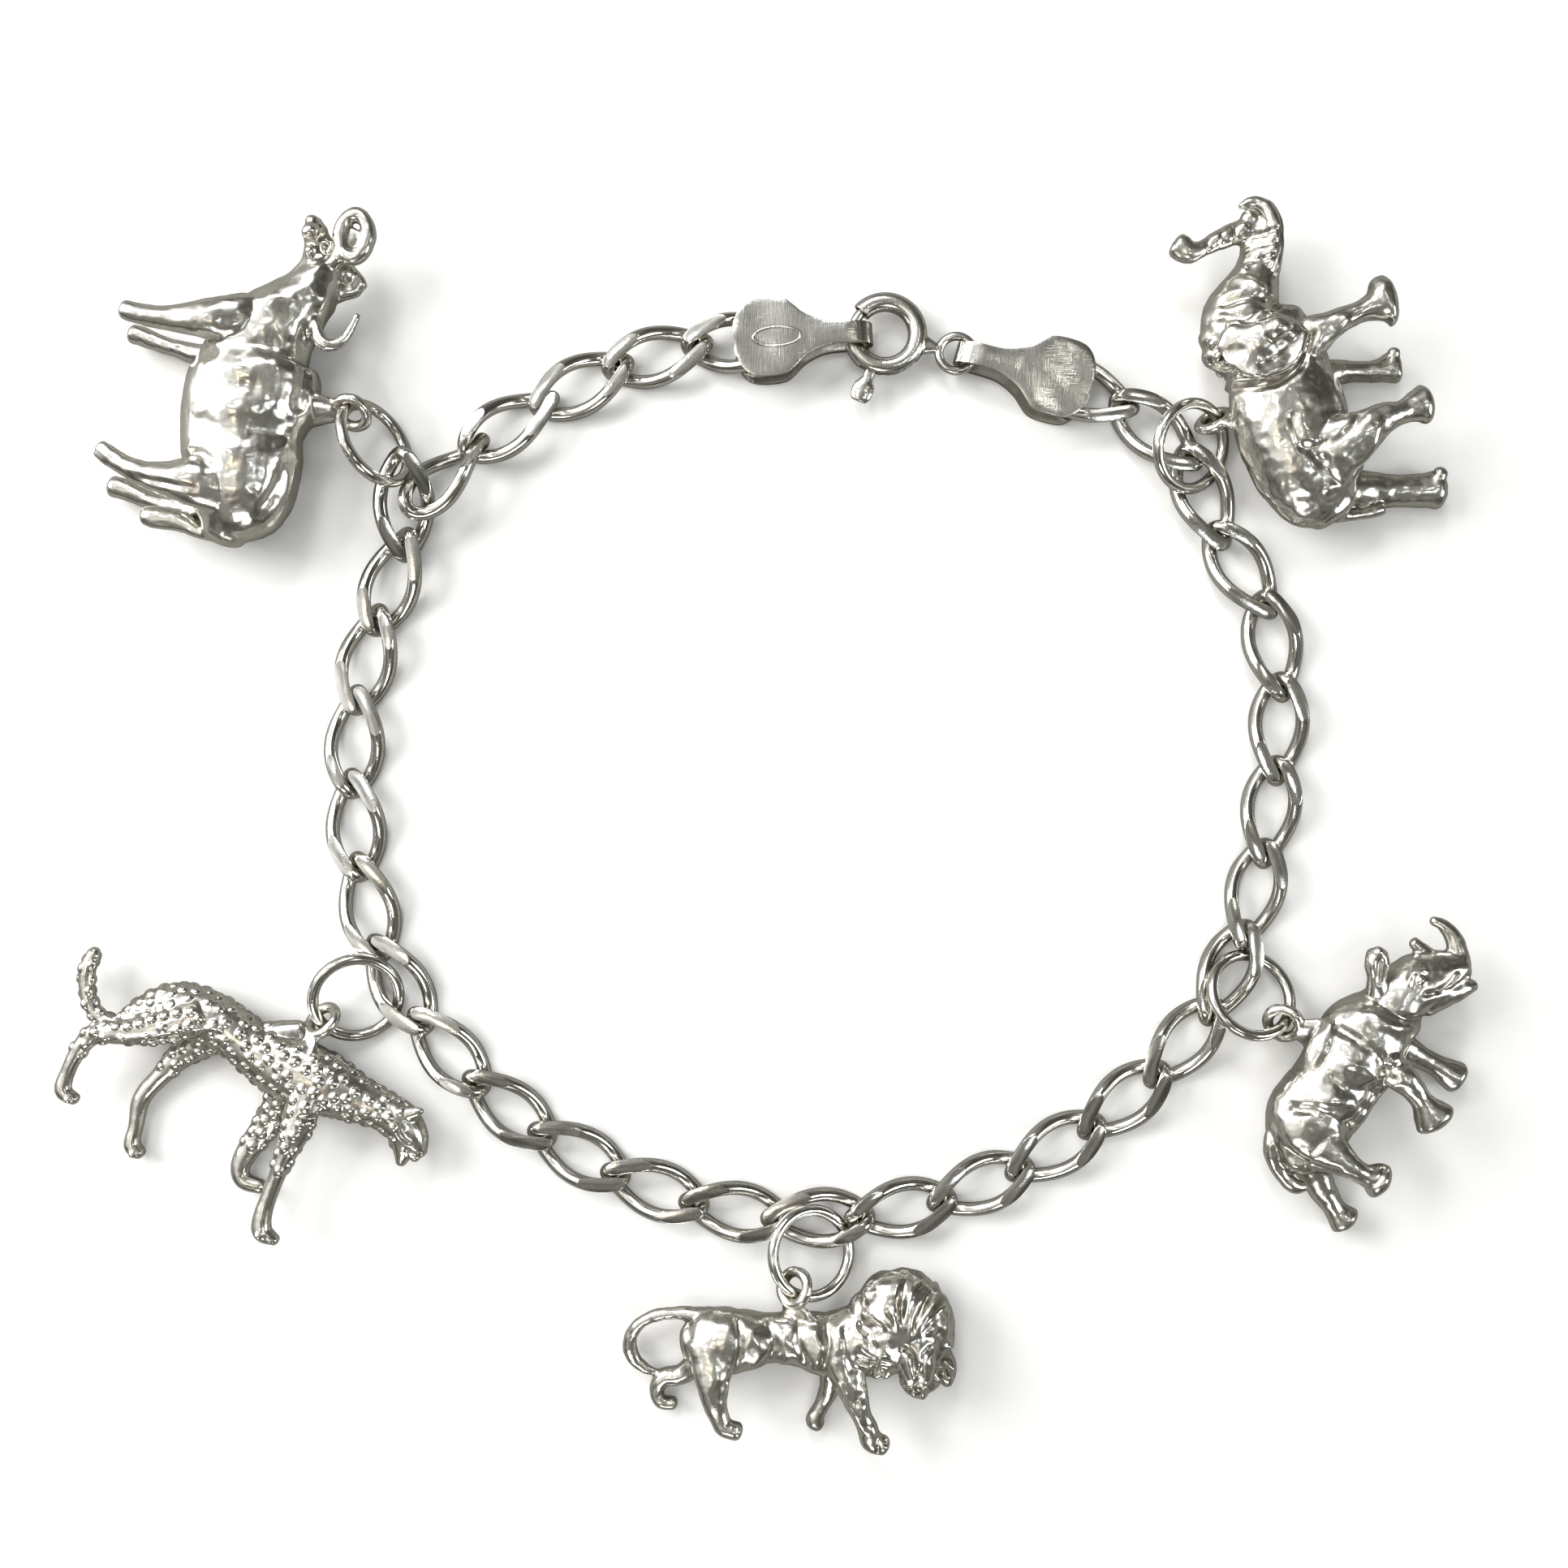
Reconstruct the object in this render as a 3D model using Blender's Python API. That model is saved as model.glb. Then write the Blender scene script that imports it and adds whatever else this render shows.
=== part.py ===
"""A silver charm bracelet: a filed curb chain, five cast animal charms and a bolt ring clasp.

It lies in an open loop on a flat surface, with its clasp fastened. Lengths are in metres and +Z
is up. The surface is z = 0, and the origin is under the middle of the bracelet's box.
"""

import math
from collections import namedtuple

import bmesh
import bpy
from mathutils import Matrix, Vector

MM = 0.001

# Chain links
LINK_LENGTH = 7.45 * MM
LINK_WIDTH = 3.9 * MM
LINK_WIRE = 0.82 * MM
LINK_THICKNESS = 1.5 * MM
LINK_TWIST = math.radians(54)
LINK_PLAY = 0.41 * MM
LINK_SEGMENTS = 12
WIRE_CORNER = math.radians(30)

# Jump rings
RING_DIAMETER = 5.9 * MM
RING_WIRE = 0.54 * MM
RING_SEGMENTS = 14
WIRE_SIDES = 6

# Bolt ring clasp
CLASP_AT = (7.7 * MM, 32.2 * MM, 1.2 * MM)
CLASP_RADIUS = 2.08 * MM
CLASP_TUBE = 1.24 * MM
CLASP_BORE = 0.9 * MM
CLASP_SIDES = 8
CLASP_STEP = math.radians(14)
GAP_START = math.radians(138)
GAP_END = math.radians(186)
SLOT_START = math.radians(232)
SLOT_END = math.radians(320)
SLOT_WIDTH = 0.6 * MM
SOCKET_DEPTH = math.radians(16)
BOLT_REACH = math.radians(7)
BOLT_CLEARANCE = 0.12 * MM
LEVER_ANGLE = math.radians(248)
LEVER_REACH = 2.0 * MM
LEVER_WIDTH = 1.4 * MM
LEVER_NECK = 0.72 * MM
LEVER_THICKNESS = 0.42 * MM
EYE_ANGLE = math.radians(-15)
EYE_REACH = 4.72 * MM
EYE_DIAMETER = 2.8 * MM
EYE_WIRE = 0.58 * MM
EYE_NECK = 0.9 * MM
EYE_STEP = math.radians(30)

# Leaf tabs
TAB_LENGTH = 7.5 * MM
TAB_WIDTH = 4.95 * MM
TAB_SHEET = 0.35 * MM
TAB_POST = 0.6 * MM
TAB_POST_AT = 5.2 * MM
TAB_CLEARANCE = 0.2 * MM
FOLD_CLEARANCE = 0.12 * MM
POST_CLEARANCE = 0.4 * MM
LEFT_TAB_HEADING = math.radians(183.5)
RIGHT_TAB_HEADING = math.radians(-15.5)

# The chain's route: chosen points, first from the left tab to the corner link, then from the
# corner link's free end round to the right tab
ROUTE_TO_CORNER = (
    (-4.5 * MM, 31.6 * MM),
    (-9.6 * MM, 30.2 * MM),
    (-14.3 * MM, 27.7 * MM),
    (-18.2 * MM, 24.7 * MM),
)
ROUTE_FROM_CORNER = (
    (-24.0 * MM, 23.8 * MM),
    (-22.3 * MM, 18.8 * MM),
    (-24.9 * MM, 14.2 * MM),
    (-26.2 * MM, 9.2 * MM),
    (-26.6 * MM, 3.8 * MM),
    (-25.0 * MM, -7.0 * MM),
    (-18.8 * MM, -15.7 * MM),
    (-9.8 * MM, -21.7 * MM),
    (0.6 * MM, -24.6 * MM),
    (11.2 * MM, -23.5 * MM),
    (21.0 * MM, -18.7 * MM),
    (28.8 * MM, -11.1 * MM),
    (32.2 * MM, -0.8 * MM),
    (33.2 * MM, 9.9 * MM),
    (32.2 * MM, 15.0 * MM),
    (29.2 * MM, 19.4 * MM),
    (27.8 * MM, 23.7 * MM),
    (23.6 * MM, 27.5 * MM),
)
END_LIFT = 0.1 * MM
POST_LIFT = 0.07 * MM
CORNER_HOOK = 0.9 * MM
CURVE_STEPS = 24

# Middle of the finished bracelet's box, which becomes the origin
BOX_MIDDLE = (0.1 * MM, 0.85 * MM, 0)

# Links round the corner, which lie on one another instead of flat: each one's middle, the way it
# runs, its rise along that way and its turn about it
SETTLED_LINKS = {
    3: {"at": (-11.8, 29.05, 0.86), "way": -152.5, "rise": 1.8, "turn": -3.4},
    4: {"at": (-16.4, 26.45, 1.21), "way": -147.2, "rise": 5.4, "turn": 10.1},
    5: {"at": (-20.35, 23.1, 1.78), "way": -134.4, "rise": 9.5, "turn": 35.4},
    6: {"at": (-23.05, 21.2, 1.68), "way": -91.0, "rise": -14.6, "turn": -13.3},
    7: {"at": (-24.0, 16.35, 1.02), "way": -110.5, "rise": -3.9, "turn": 1.0},
}

# Sheet outline of a tab: place along it from the fold to the wide end, and half width, as shares
TAB_OUTLINE = (
    {"along": 0.00, "half_width": 0.27},
    {"along": 0.18, "half_width": 0.28},
    {"along": 0.30, "half_width": 0.37},
    {"along": 0.42, "half_width": 0.56},
    {"along": 0.50, "half_width": 0.78},
    {"along": 0.58, "half_width": 0.95},
    {"along": 0.72, "half_width": 1.00},
    {"along": 0.86, "half_width": 0.96},
    {"along": 0.94, "half_width": 0.78},
    {"along": 1.00, "half_width": 0.50},
)
FOLD_STEPS = 6

# Each charm's jump ring and the hanging loop it runs through: the middle of the round wire, the
# way its plane rises, and how steeply
HANGERS = {
    "buffalo": {
        "ring": {
            "at": (-24.7 * MM, 24.95 * MM, 2.6 * MM),
            "rises": math.radians(-156),
            "tilt": math.radians(60),
        },
        "loop": {
            "at": (-26.0 * MM, 26.75 * MM, 3.25 * MM),
            "rises": math.radians(72),
            "tilt": math.radians(45),
        },
    },
    "elephant": {
        "ring": {
            "at": (27.21 * MM, 24.94 * MM, 1.66 * MM),
            "rises": math.radians(157),
            "tilt": math.radians(31),
        },
        "loop": {
            "at": (28.81 * MM, 26.66 * MM, 1.2 * MM),
            "rises": math.radians(-57),
            "tilt": math.radians(62),
        },
    },
    "rhinoceros": {
        "ring": {
            "at": (31.06 * MM, -10.11 * MM, 1.63 * MM),
            "rises": math.radians(-118),
            "tilt": math.radians(28),
        },
        "loop": {
            "at": (33.01 * MM, -11.85 * MM, 2.02 * MM),
            "rises": math.radians(37),
            "tilt": math.radians(35),
        },
    },
    "lion": {
        "ring": {
            "at": (2.96 * MM, -26.61 * MM, 1.62 * MM),
            "rises": math.radians(-162),
            "tilt": math.radians(26),
        },
        "loop": {
            "at": (1.86 * MM, -28.56 * MM, 2.53 * MM),
            "rises": math.radians(-28),
            "tilt": math.radians(42),
        },
    },
    "cheetah": {
        "ring": {
            "at": (-26.16 * MM, -10.3 * MM, 1.47 * MM),
            "rises": math.radians(133),
            "tilt": math.radians(26),
        },
        "loop": {
            "at": (-28.3 * MM, -11.78 * MM, 1.53 * MM),
            "rises": math.radians(-53),
            "tilt": math.radians(48),
        },
    },
}
BAIL_DIAMETER = 2.5 * MM
BAIL_WIRE = 0.5 * MM
BAIL_SEGMENTS = 10

# Cast animals. A form is a row of cuts through it: where its middle lies along the body, up from
# the feet and out from the surface it lies on, and how tall and thick half the cut is. All are
# shares of the animal's length.
Cut = namedtuple("Cut", "along up out tall thick")

BUFFALO_LENGTH = 21.7 * MM
ELEPHANT_LENGTH = 20.7 * MM
RHINOCEROS_LENGTH = 22.2 * MM
LION_LENGTH = 21.3 * MM
CHEETAH_LENGTH = 25.8 * MM

BUFFALO = {
    "body": (
        Cut(0.10, 0.350, 0.140, 0.070, 0.060),
        Cut(0.15, 0.365, 0.140, 0.130, 0.100),
        Cut(0.22, 0.380, 0.140, 0.165, 0.125),
        Cut(0.31, 0.385, 0.140, 0.170, 0.130),
        Cut(0.39, 0.370, 0.140, 0.165, 0.125),
        Cut(0.47, 0.380, 0.140, 0.185, 0.130),
        Cut(0.55, 0.395, 0.140, 0.190, 0.132),
        Cut(0.63, 0.385, 0.140, 0.165, 0.120),
        Cut(0.71, 0.420, 0.140, 0.135, 0.105),
        Cut(0.78, 0.470, 0.140, 0.105, 0.090),
        Cut(0.85, 0.510, 0.140, 0.080, 0.075),
        Cut(0.91, 0.525, 0.140, 0.062, 0.062),
        Cut(0.965, 0.520, 0.145, 0.045, 0.045),
    ),
    "muzzle": (
        Cut(0.93, 0.515, 0.150, 0.045, 0.045),
        Cut(0.99, 0.490, 0.160, 0.040, 0.040),
        Cut(1.03, 0.475, 0.165, 0.036, 0.036),
        Cut(1.05, 0.470, 0.165, 0.020, 0.022),
    ),
    "near_ear": (
        Cut(0.985, 0.520, 0.165, 0.028, 0.020),
        Cut(1.015, 0.560, 0.175, 0.055, 0.022),
        Cut(1.020, 0.600, 0.180, 0.070, 0.022),
        Cut(1.010, 0.635, 0.175, 0.050, 0.018),
    ),
    "far_ear": (
        Cut(0.840, 0.560, 0.110, 0.030, 0.022),
        Cut(0.875, 0.600, 0.100, 0.045, 0.020),
        Cut(0.900, 0.630, 0.100, 0.038, 0.018),
    ),
    "horn": (
        Cut(0.900, 0.560, 0.185, 0.022, 0.020),
        Cut(0.820, 0.570, 0.195, 0.024, 0.018),
        Cut(0.740, 0.572, 0.200, 0.028, 0.016),
        Cut(0.685, 0.582, 0.200, 0.028, 0.016),
        Cut(0.700, 0.612, 0.195, 0.018, 0.014),
        Cut(0.735, 0.632, 0.190, 0.012, 0.012),
        Cut(0.776, 0.648, 0.185, 0.009, 0.010),
    ),
    "near_hind_leg": (
        Cut(0.240, 0.360, 0.215, 0.100, 0.050),
        Cut(0.225, 0.250, 0.235, 0.060, 0.045),
        Cut(0.225, 0.160, 0.235, 0.042, 0.036),
        Cut(0.235, 0.080, 0.230, 0.030, 0.030),
        Cut(0.255, 0.020, 0.230, 0.030, 0.030),
        Cut(0.285, -0.035, 0.230, 0.034, 0.026),
    ),
    "far_hind_leg": (
        Cut(0.170, 0.300, 0.070, 0.060, 0.050),
        Cut(0.165, 0.180, 0.055, 0.040, 0.040),
        Cut(0.175, 0.090, 0.050, 0.028, 0.034),
        Cut(0.195, 0.020, 0.050, 0.032, 0.036),
        Cut(0.200, -0.018, 0.050, 0.034, 0.036),
    ),
    "near_front_leg": (
        Cut(0.680, 0.360, 0.205, 0.080, 0.050),
        Cut(0.695, 0.240, 0.230, 0.050, 0.042),
        Cut(0.690, 0.140, 0.230, 0.032, 0.034),
        Cut(0.695, 0.050, 0.225, 0.028, 0.030),
        Cut(0.710, -0.030, 0.225, 0.036, 0.030),
    ),
    "far_front_leg": (
        Cut(0.620, 0.300, 0.070, 0.055, 0.050),
        Cut(0.620, 0.180, 0.055, 0.034, 0.040),
        Cut(0.635, 0.080, 0.050, 0.026, 0.032),
        Cut(0.650, 0.010, 0.050, 0.030, 0.034),
        Cut(0.655, -0.020, 0.050, 0.032, 0.034),
    ),
    "tail": (
        Cut(0.125, 0.440, 0.140, 0.026, 0.024),
        Cut(0.090, 0.370, 0.130, 0.020, 0.020),
        Cut(0.095, 0.280, 0.125, 0.020, 0.020),
        Cut(0.118, 0.220, 0.120, 0.032, 0.024),
        Cut(0.120, 0.140, 0.120, 0.034, 0.024),
        Cut(0.120, 0.110, 0.120, 0.028, 0.020),
    ),
}

ELEPHANT = {
    "body": (
        Cut(0.04, 0.420, 0.130, 0.085, 0.060),
        Cut(0.08, 0.440, 0.130, 0.135, 0.090),
        Cut(0.15, 0.455, 0.130, 0.165, 0.115),
        Cut(0.24, 0.480, 0.130, 0.175, 0.125),
        Cut(0.34, 0.505, 0.130, 0.180, 0.128),
        Cut(0.44, 0.530, 0.130, 0.165, 0.122),
        Cut(0.54, 0.545, 0.130, 0.150, 0.115),
        Cut(0.61, 0.560, 0.130, 0.120, 0.090),
    ),
    "head": (
        Cut(0.51, 0.645, 0.130, 0.100, 0.080),
        Cut(0.57, 0.650, 0.130, 0.118, 0.105),
        Cut(0.64, 0.640, 0.130, 0.118, 0.110),
        Cut(0.71, 0.610, 0.130, 0.095, 0.090),
        Cut(0.78, 0.585, 0.130, 0.068, 0.068),
        Cut(0.86, 0.570, 0.130, 0.060, 0.055),
        Cut(0.93, 0.565, 0.130, 0.045, 0.042),
    ),
    "raised_trunk": (
        Cut(0.885, 0.575, 0.130, 0.050, 0.045),
        Cut(0.890, 0.645, 0.138, 0.038, 0.036),
        Cut(0.865, 0.710, 0.145, 0.031, 0.031),
        Cut(0.840, 0.765, 0.150, 0.028, 0.028),
        Cut(0.835, 0.800, 0.152, 0.040, 0.030),
        Cut(0.855, 0.832, 0.152, 0.040, 0.028),
    ),
    "near_tusk": (
        Cut(0.800, 0.540, 0.165, 0.026, 0.026),
        Cut(0.880, 0.500, 0.180, 0.022, 0.020),
        Cut(0.955, 0.508, 0.182, 0.020, 0.018),
        Cut(1.000, 0.548, 0.180, 0.016, 0.015),
        Cut(1.010, 0.595, 0.178, 0.010, 0.010),
    ),
    "jaw": (
        Cut(0.820, 0.555, 0.115, 0.045, 0.040),
        Cut(0.930, 0.535, 0.110, 0.035, 0.030),
        Cut(0.985, 0.560, 0.110, 0.022, 0.020),
    ),
    "near_ear": (
        Cut(0.560, 0.700, 0.225, 0.060, 0.026),
        Cut(0.535, 0.640, 0.248, 0.100, 0.022),
        Cut(0.535, 0.565, 0.256, 0.108, 0.020),
        Cut(0.575, 0.500, 0.250, 0.070, 0.018),
        Cut(0.615, 0.465, 0.245, 0.030, 0.014),
    ),
    "far_ear": (
        Cut(0.560, 0.700, 0.045, 0.060, 0.024),
        Cut(0.540, 0.630, 0.030, 0.090, 0.020),
        Cut(0.560, 0.550, 0.028, 0.070, 0.018),
    ),
    "near_hind_leg": (
        Cut(0.220, 0.420, 0.205, 0.120, 0.050),
        Cut(0.280, 0.310, 0.222, 0.070, 0.050),
        Cut(0.325, 0.220, 0.225, 0.045, 0.042),
        Cut(0.355, 0.140, 0.220, 0.042, 0.040),
        Cut(0.370, 0.085, 0.220, 0.054, 0.045),
    ),
    "far_hind_leg": (
        Cut(0.100, 0.380, 0.075, 0.080, 0.055),
        Cut(0.105, 0.260, 0.060, 0.066, 0.050),
        Cut(0.100, 0.150, 0.055, 0.052, 0.045),
        Cut(0.100, 0.070, 0.055, 0.056, 0.048),
        Cut(0.100, 0.030, 0.055, 0.064, 0.050),
    ),
    "near_front_leg": (
        Cut(0.560, 0.470, 0.195, 0.080, 0.050),
        Cut(0.620, 0.370, 0.215, 0.055, 0.045),
        Cut(0.662, 0.270, 0.215, 0.040, 0.040),
        Cut(0.685, 0.215, 0.215, 0.062, 0.045),
        Cut(0.692, 0.185, 0.215, 0.074, 0.048),
    ),
    "far_front_leg": (
        Cut(0.460, 0.440, 0.075, 0.070, 0.050),
        Cut(0.475, 0.320, 0.055, 0.038, 0.040),
        Cut(0.475, 0.220, 0.050, 0.034, 0.038),
        Cut(0.485, 0.150, 0.050, 0.055, 0.040),
    ),
    "tail": (
        Cut(0.055, 0.500, 0.130, 0.026, 0.024),
        Cut(0.022, 0.410, 0.120, 0.020, 0.018),
        Cut(0.022, 0.310, 0.105, 0.017, 0.016),
        Cut(0.040, 0.215, 0.095, 0.020, 0.018),
    ),
}

RHINOCEROS = {
    "body": (
        Cut(0.26, 0.370, 0.115, 0.070, 0.060),
        Cut(0.31, 0.375, 0.115, 0.105, 0.090),
        Cut(0.39, 0.378, 0.115, 0.132, 0.105),
        Cut(0.49, 0.355, 0.115, 0.125, 0.105),
        Cut(0.59, 0.335, 0.115, 0.130, 0.108),
        Cut(0.67, 0.315, 0.115, 0.135, 0.105),
        Cut(0.745, 0.285, 0.115, 0.100, 0.090),
        Cut(0.81, 0.270, 0.118, 0.088, 0.080),
        Cut(0.865, 0.235, 0.120, 0.088, 0.075),
        Cut(0.91, 0.185, 0.120, 0.074, 0.062),
        Cut(0.945, 0.145, 0.120, 0.050, 0.045),
    ),
    "jaw": (
        Cut(0.830, 0.210, 0.120, 0.060, 0.055),
        Cut(0.885, 0.135, 0.120, 0.040, 0.040),
        Cut(0.912, 0.090, 0.120, 0.018, 0.022),
    ),
    "front_horn": (
        Cut(0.930, 0.150, 0.120, 0.045, 0.036),
        Cut(0.985, 0.163, 0.120, 0.030, 0.026),
        Cut(1.028, 0.198, 0.120, 0.020, 0.019),
        Cut(1.048, 0.240, 0.120, 0.012, 0.012),
        Cut(1.052, 0.268, 0.120, 0.006, 0.006),
    ),
    "rear_horn": (
        Cut(0.925, 0.195, 0.120, 0.040, 0.030),
        Cut(0.948, 0.245, 0.120, 0.022, 0.020),
        Cut(0.964, 0.290, 0.120, 0.010, 0.010),
    ),
    "near_ear": (
        Cut(0.795, 0.325, 0.155, 0.026, 0.024),
        Cut(0.840, 0.355, 0.170, 0.025, 0.020),
        Cut(0.885, 0.370, 0.175, 0.025, 0.018),
        Cut(0.912, 0.378, 0.175, 0.013, 0.012),
    ),
    "far_ear": (
        Cut(0.795, 0.320, 0.085, 0.026, 0.024),
        Cut(0.835, 0.345, 0.070, 0.024, 0.018),
        Cut(0.870, 0.358, 0.062, 0.014, 0.012),
    ),
    "near_hind_leg": (
        Cut(0.330, 0.330, 0.170, 0.075, 0.045),
        Cut(0.305, 0.240, 0.188, 0.046, 0.040),
        Cut(0.295, 0.170, 0.185, 0.037, 0.037),
        Cut(0.292, 0.120, 0.185, 0.054, 0.044),
    ),
    "far_hind_leg": (
        Cut(0.280, 0.330, 0.070, 0.060, 0.045),
        Cut(0.205, 0.245, 0.050, 0.042, 0.038),
        Cut(0.168, 0.192, 0.047, 0.034, 0.034),
        Cut(0.147, 0.152, 0.047, 0.050, 0.040),
    ),
    "near_front_leg": (
        Cut(0.625, 0.270, 0.170, 0.062, 0.045),
        Cut(0.600, 0.170, 0.188, 0.045, 0.040),
        Cut(0.563, 0.088, 0.185, 0.036, 0.037),
        Cut(0.537, 0.032, 0.185, 0.060, 0.044),
    ),
    "far_front_leg": (
        Cut(0.680, 0.260, 0.070, 0.060, 0.045),
        Cut(0.670, 0.160, 0.050, 0.040, 0.038),
        Cut(0.660, 0.080, 0.047, 0.034, 0.034),
        Cut(0.650, 0.008, 0.047, 0.050, 0.040),
    ),
    "tail": (
        Cut(0.330, 0.455, 0.120, 0.030, 0.030),
        Cut(0.260, 0.450, 0.125, 0.024, 0.022),
        Cut(0.210, 0.398, 0.120, 0.021, 0.020),
        Cut(0.190, 0.345, 0.115, 0.023, 0.019),
        Cut(0.200, 0.318, 0.112, 0.016, 0.014),
    ),
}

LION = {
    "body": (
        Cut(0.19, 0.360, 0.100, 0.060, 0.045),
        Cut(0.23, 0.360, 0.100, 0.095, 0.075),
        Cut(0.30, 0.360, 0.100, 0.105, 0.088),
        Cut(0.37, 0.365, 0.100, 0.090, 0.080),
        Cut(0.45, 0.370, 0.100, 0.075, 0.070),
        Cut(0.53, 0.365, 0.100, 0.085, 0.078),
        Cut(0.61, 0.350, 0.100, 0.100, 0.090),
        Cut(0.69, 0.360, 0.105, 0.110, 0.092),
        Cut(0.78, 0.400, 0.110, 0.115, 0.088),
    ),
    "mane": (
        Cut(0.710, 0.440, 0.110, 0.065, 0.060),
        Cut(0.755, 0.430, 0.112, 0.125, 0.098),
        Cut(0.810, 0.410, 0.116, 0.168, 0.112),
        Cut(0.870, 0.395, 0.118, 0.165, 0.108),
        Cut(0.920, 0.375, 0.118, 0.130, 0.090),
        Cut(0.950, 0.350, 0.115, 0.080, 0.055),
    ),
    "face": (
        Cut(0.850, 0.385, 0.170, 0.070, 0.055),
        Cut(0.868, 0.310, 0.195, 0.062, 0.050),
        Cut(0.875, 0.250, 0.195, 0.046, 0.042),
        Cut(0.865, 0.210, 0.180, 0.030, 0.030),
    ),
    "beard": (
        Cut(0.880, 0.300, 0.120, 0.075, 0.070),
        Cut(0.870, 0.240, 0.120, 0.070, 0.055),
        Cut(0.850, 0.205, 0.120, 0.035, 0.030),
    ),
    "far_lock": (
        Cut(0.915, 0.340, 0.090, 0.045, 0.045),
        Cut(0.962, 0.280, 0.080, 0.032, 0.034),
        Cut(0.962, 0.225, 0.075, 0.018, 0.020),
    ),
    "near_hind_leg": (
        Cut(0.270, 0.360, 0.145, 0.085, 0.038),
        Cut(0.265, 0.270, 0.162, 0.058, 0.036),
        Cut(0.272, 0.200, 0.165, 0.036, 0.030),
        Cut(0.287, 0.140, 0.165, 0.026, 0.026),
        Cut(0.305, 0.100, 0.165, 0.028, 0.028),
        Cut(0.340, 0.088, 0.165, 0.026, 0.028),
    ),
    "far_hind_leg": (
        Cut(0.235, 0.300, 0.065, 0.045, 0.040),
        Cut(0.165, 0.240, 0.045, 0.030, 0.030),
        Cut(0.110, 0.230, 0.040, 0.030, 0.028),
        Cut(0.090, 0.185, 0.035, 0.023, 0.025),
        Cut(0.103, 0.155, 0.035, 0.022, 0.027),
        Cut(0.142, 0.150, 0.035, 0.020, 0.026),
    ),
    "near_front_leg": (
        Cut(0.645, 0.330, 0.155, 0.070, 0.040),
        Cut(0.675, 0.240, 0.168, 0.048, 0.034),
        Cut(0.700, 0.170, 0.170, 0.032, 0.030),
        Cut(0.720, 0.110, 0.165, 0.028, 0.028),
        Cut(0.735, 0.062, 0.165, 0.035, 0.031),
        Cut(0.768, 0.050, 0.165, 0.028, 0.030),
    ),
    "far_front_leg": (
        Cut(0.625, 0.290, 0.065, 0.050, 0.040),
        Cut(0.612, 0.200, 0.045, 0.032, 0.032),
        Cut(0.585, 0.140, 0.038, 0.026, 0.028),
        Cut(0.568, 0.102, 0.035, 0.029, 0.029),
        Cut(0.580, 0.086, 0.035, 0.024, 0.024),
    ),
    "tail": (
        Cut(0.260, 0.430, 0.100, 0.032, 0.032),
        Cut(0.150, 0.440, 0.090, 0.020, 0.020),
        Cut(0.060, 0.415, 0.070, 0.018, 0.018),
        Cut(0.012, 0.360, 0.055, 0.021, 0.019),
        Cut(0.015, 0.300, 0.045, 0.022, 0.021),
        Cut(0.050, 0.260, 0.040, 0.017, 0.018),
        Cut(0.085, 0.247, 0.038, 0.013, 0.014),
    ),
}

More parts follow.
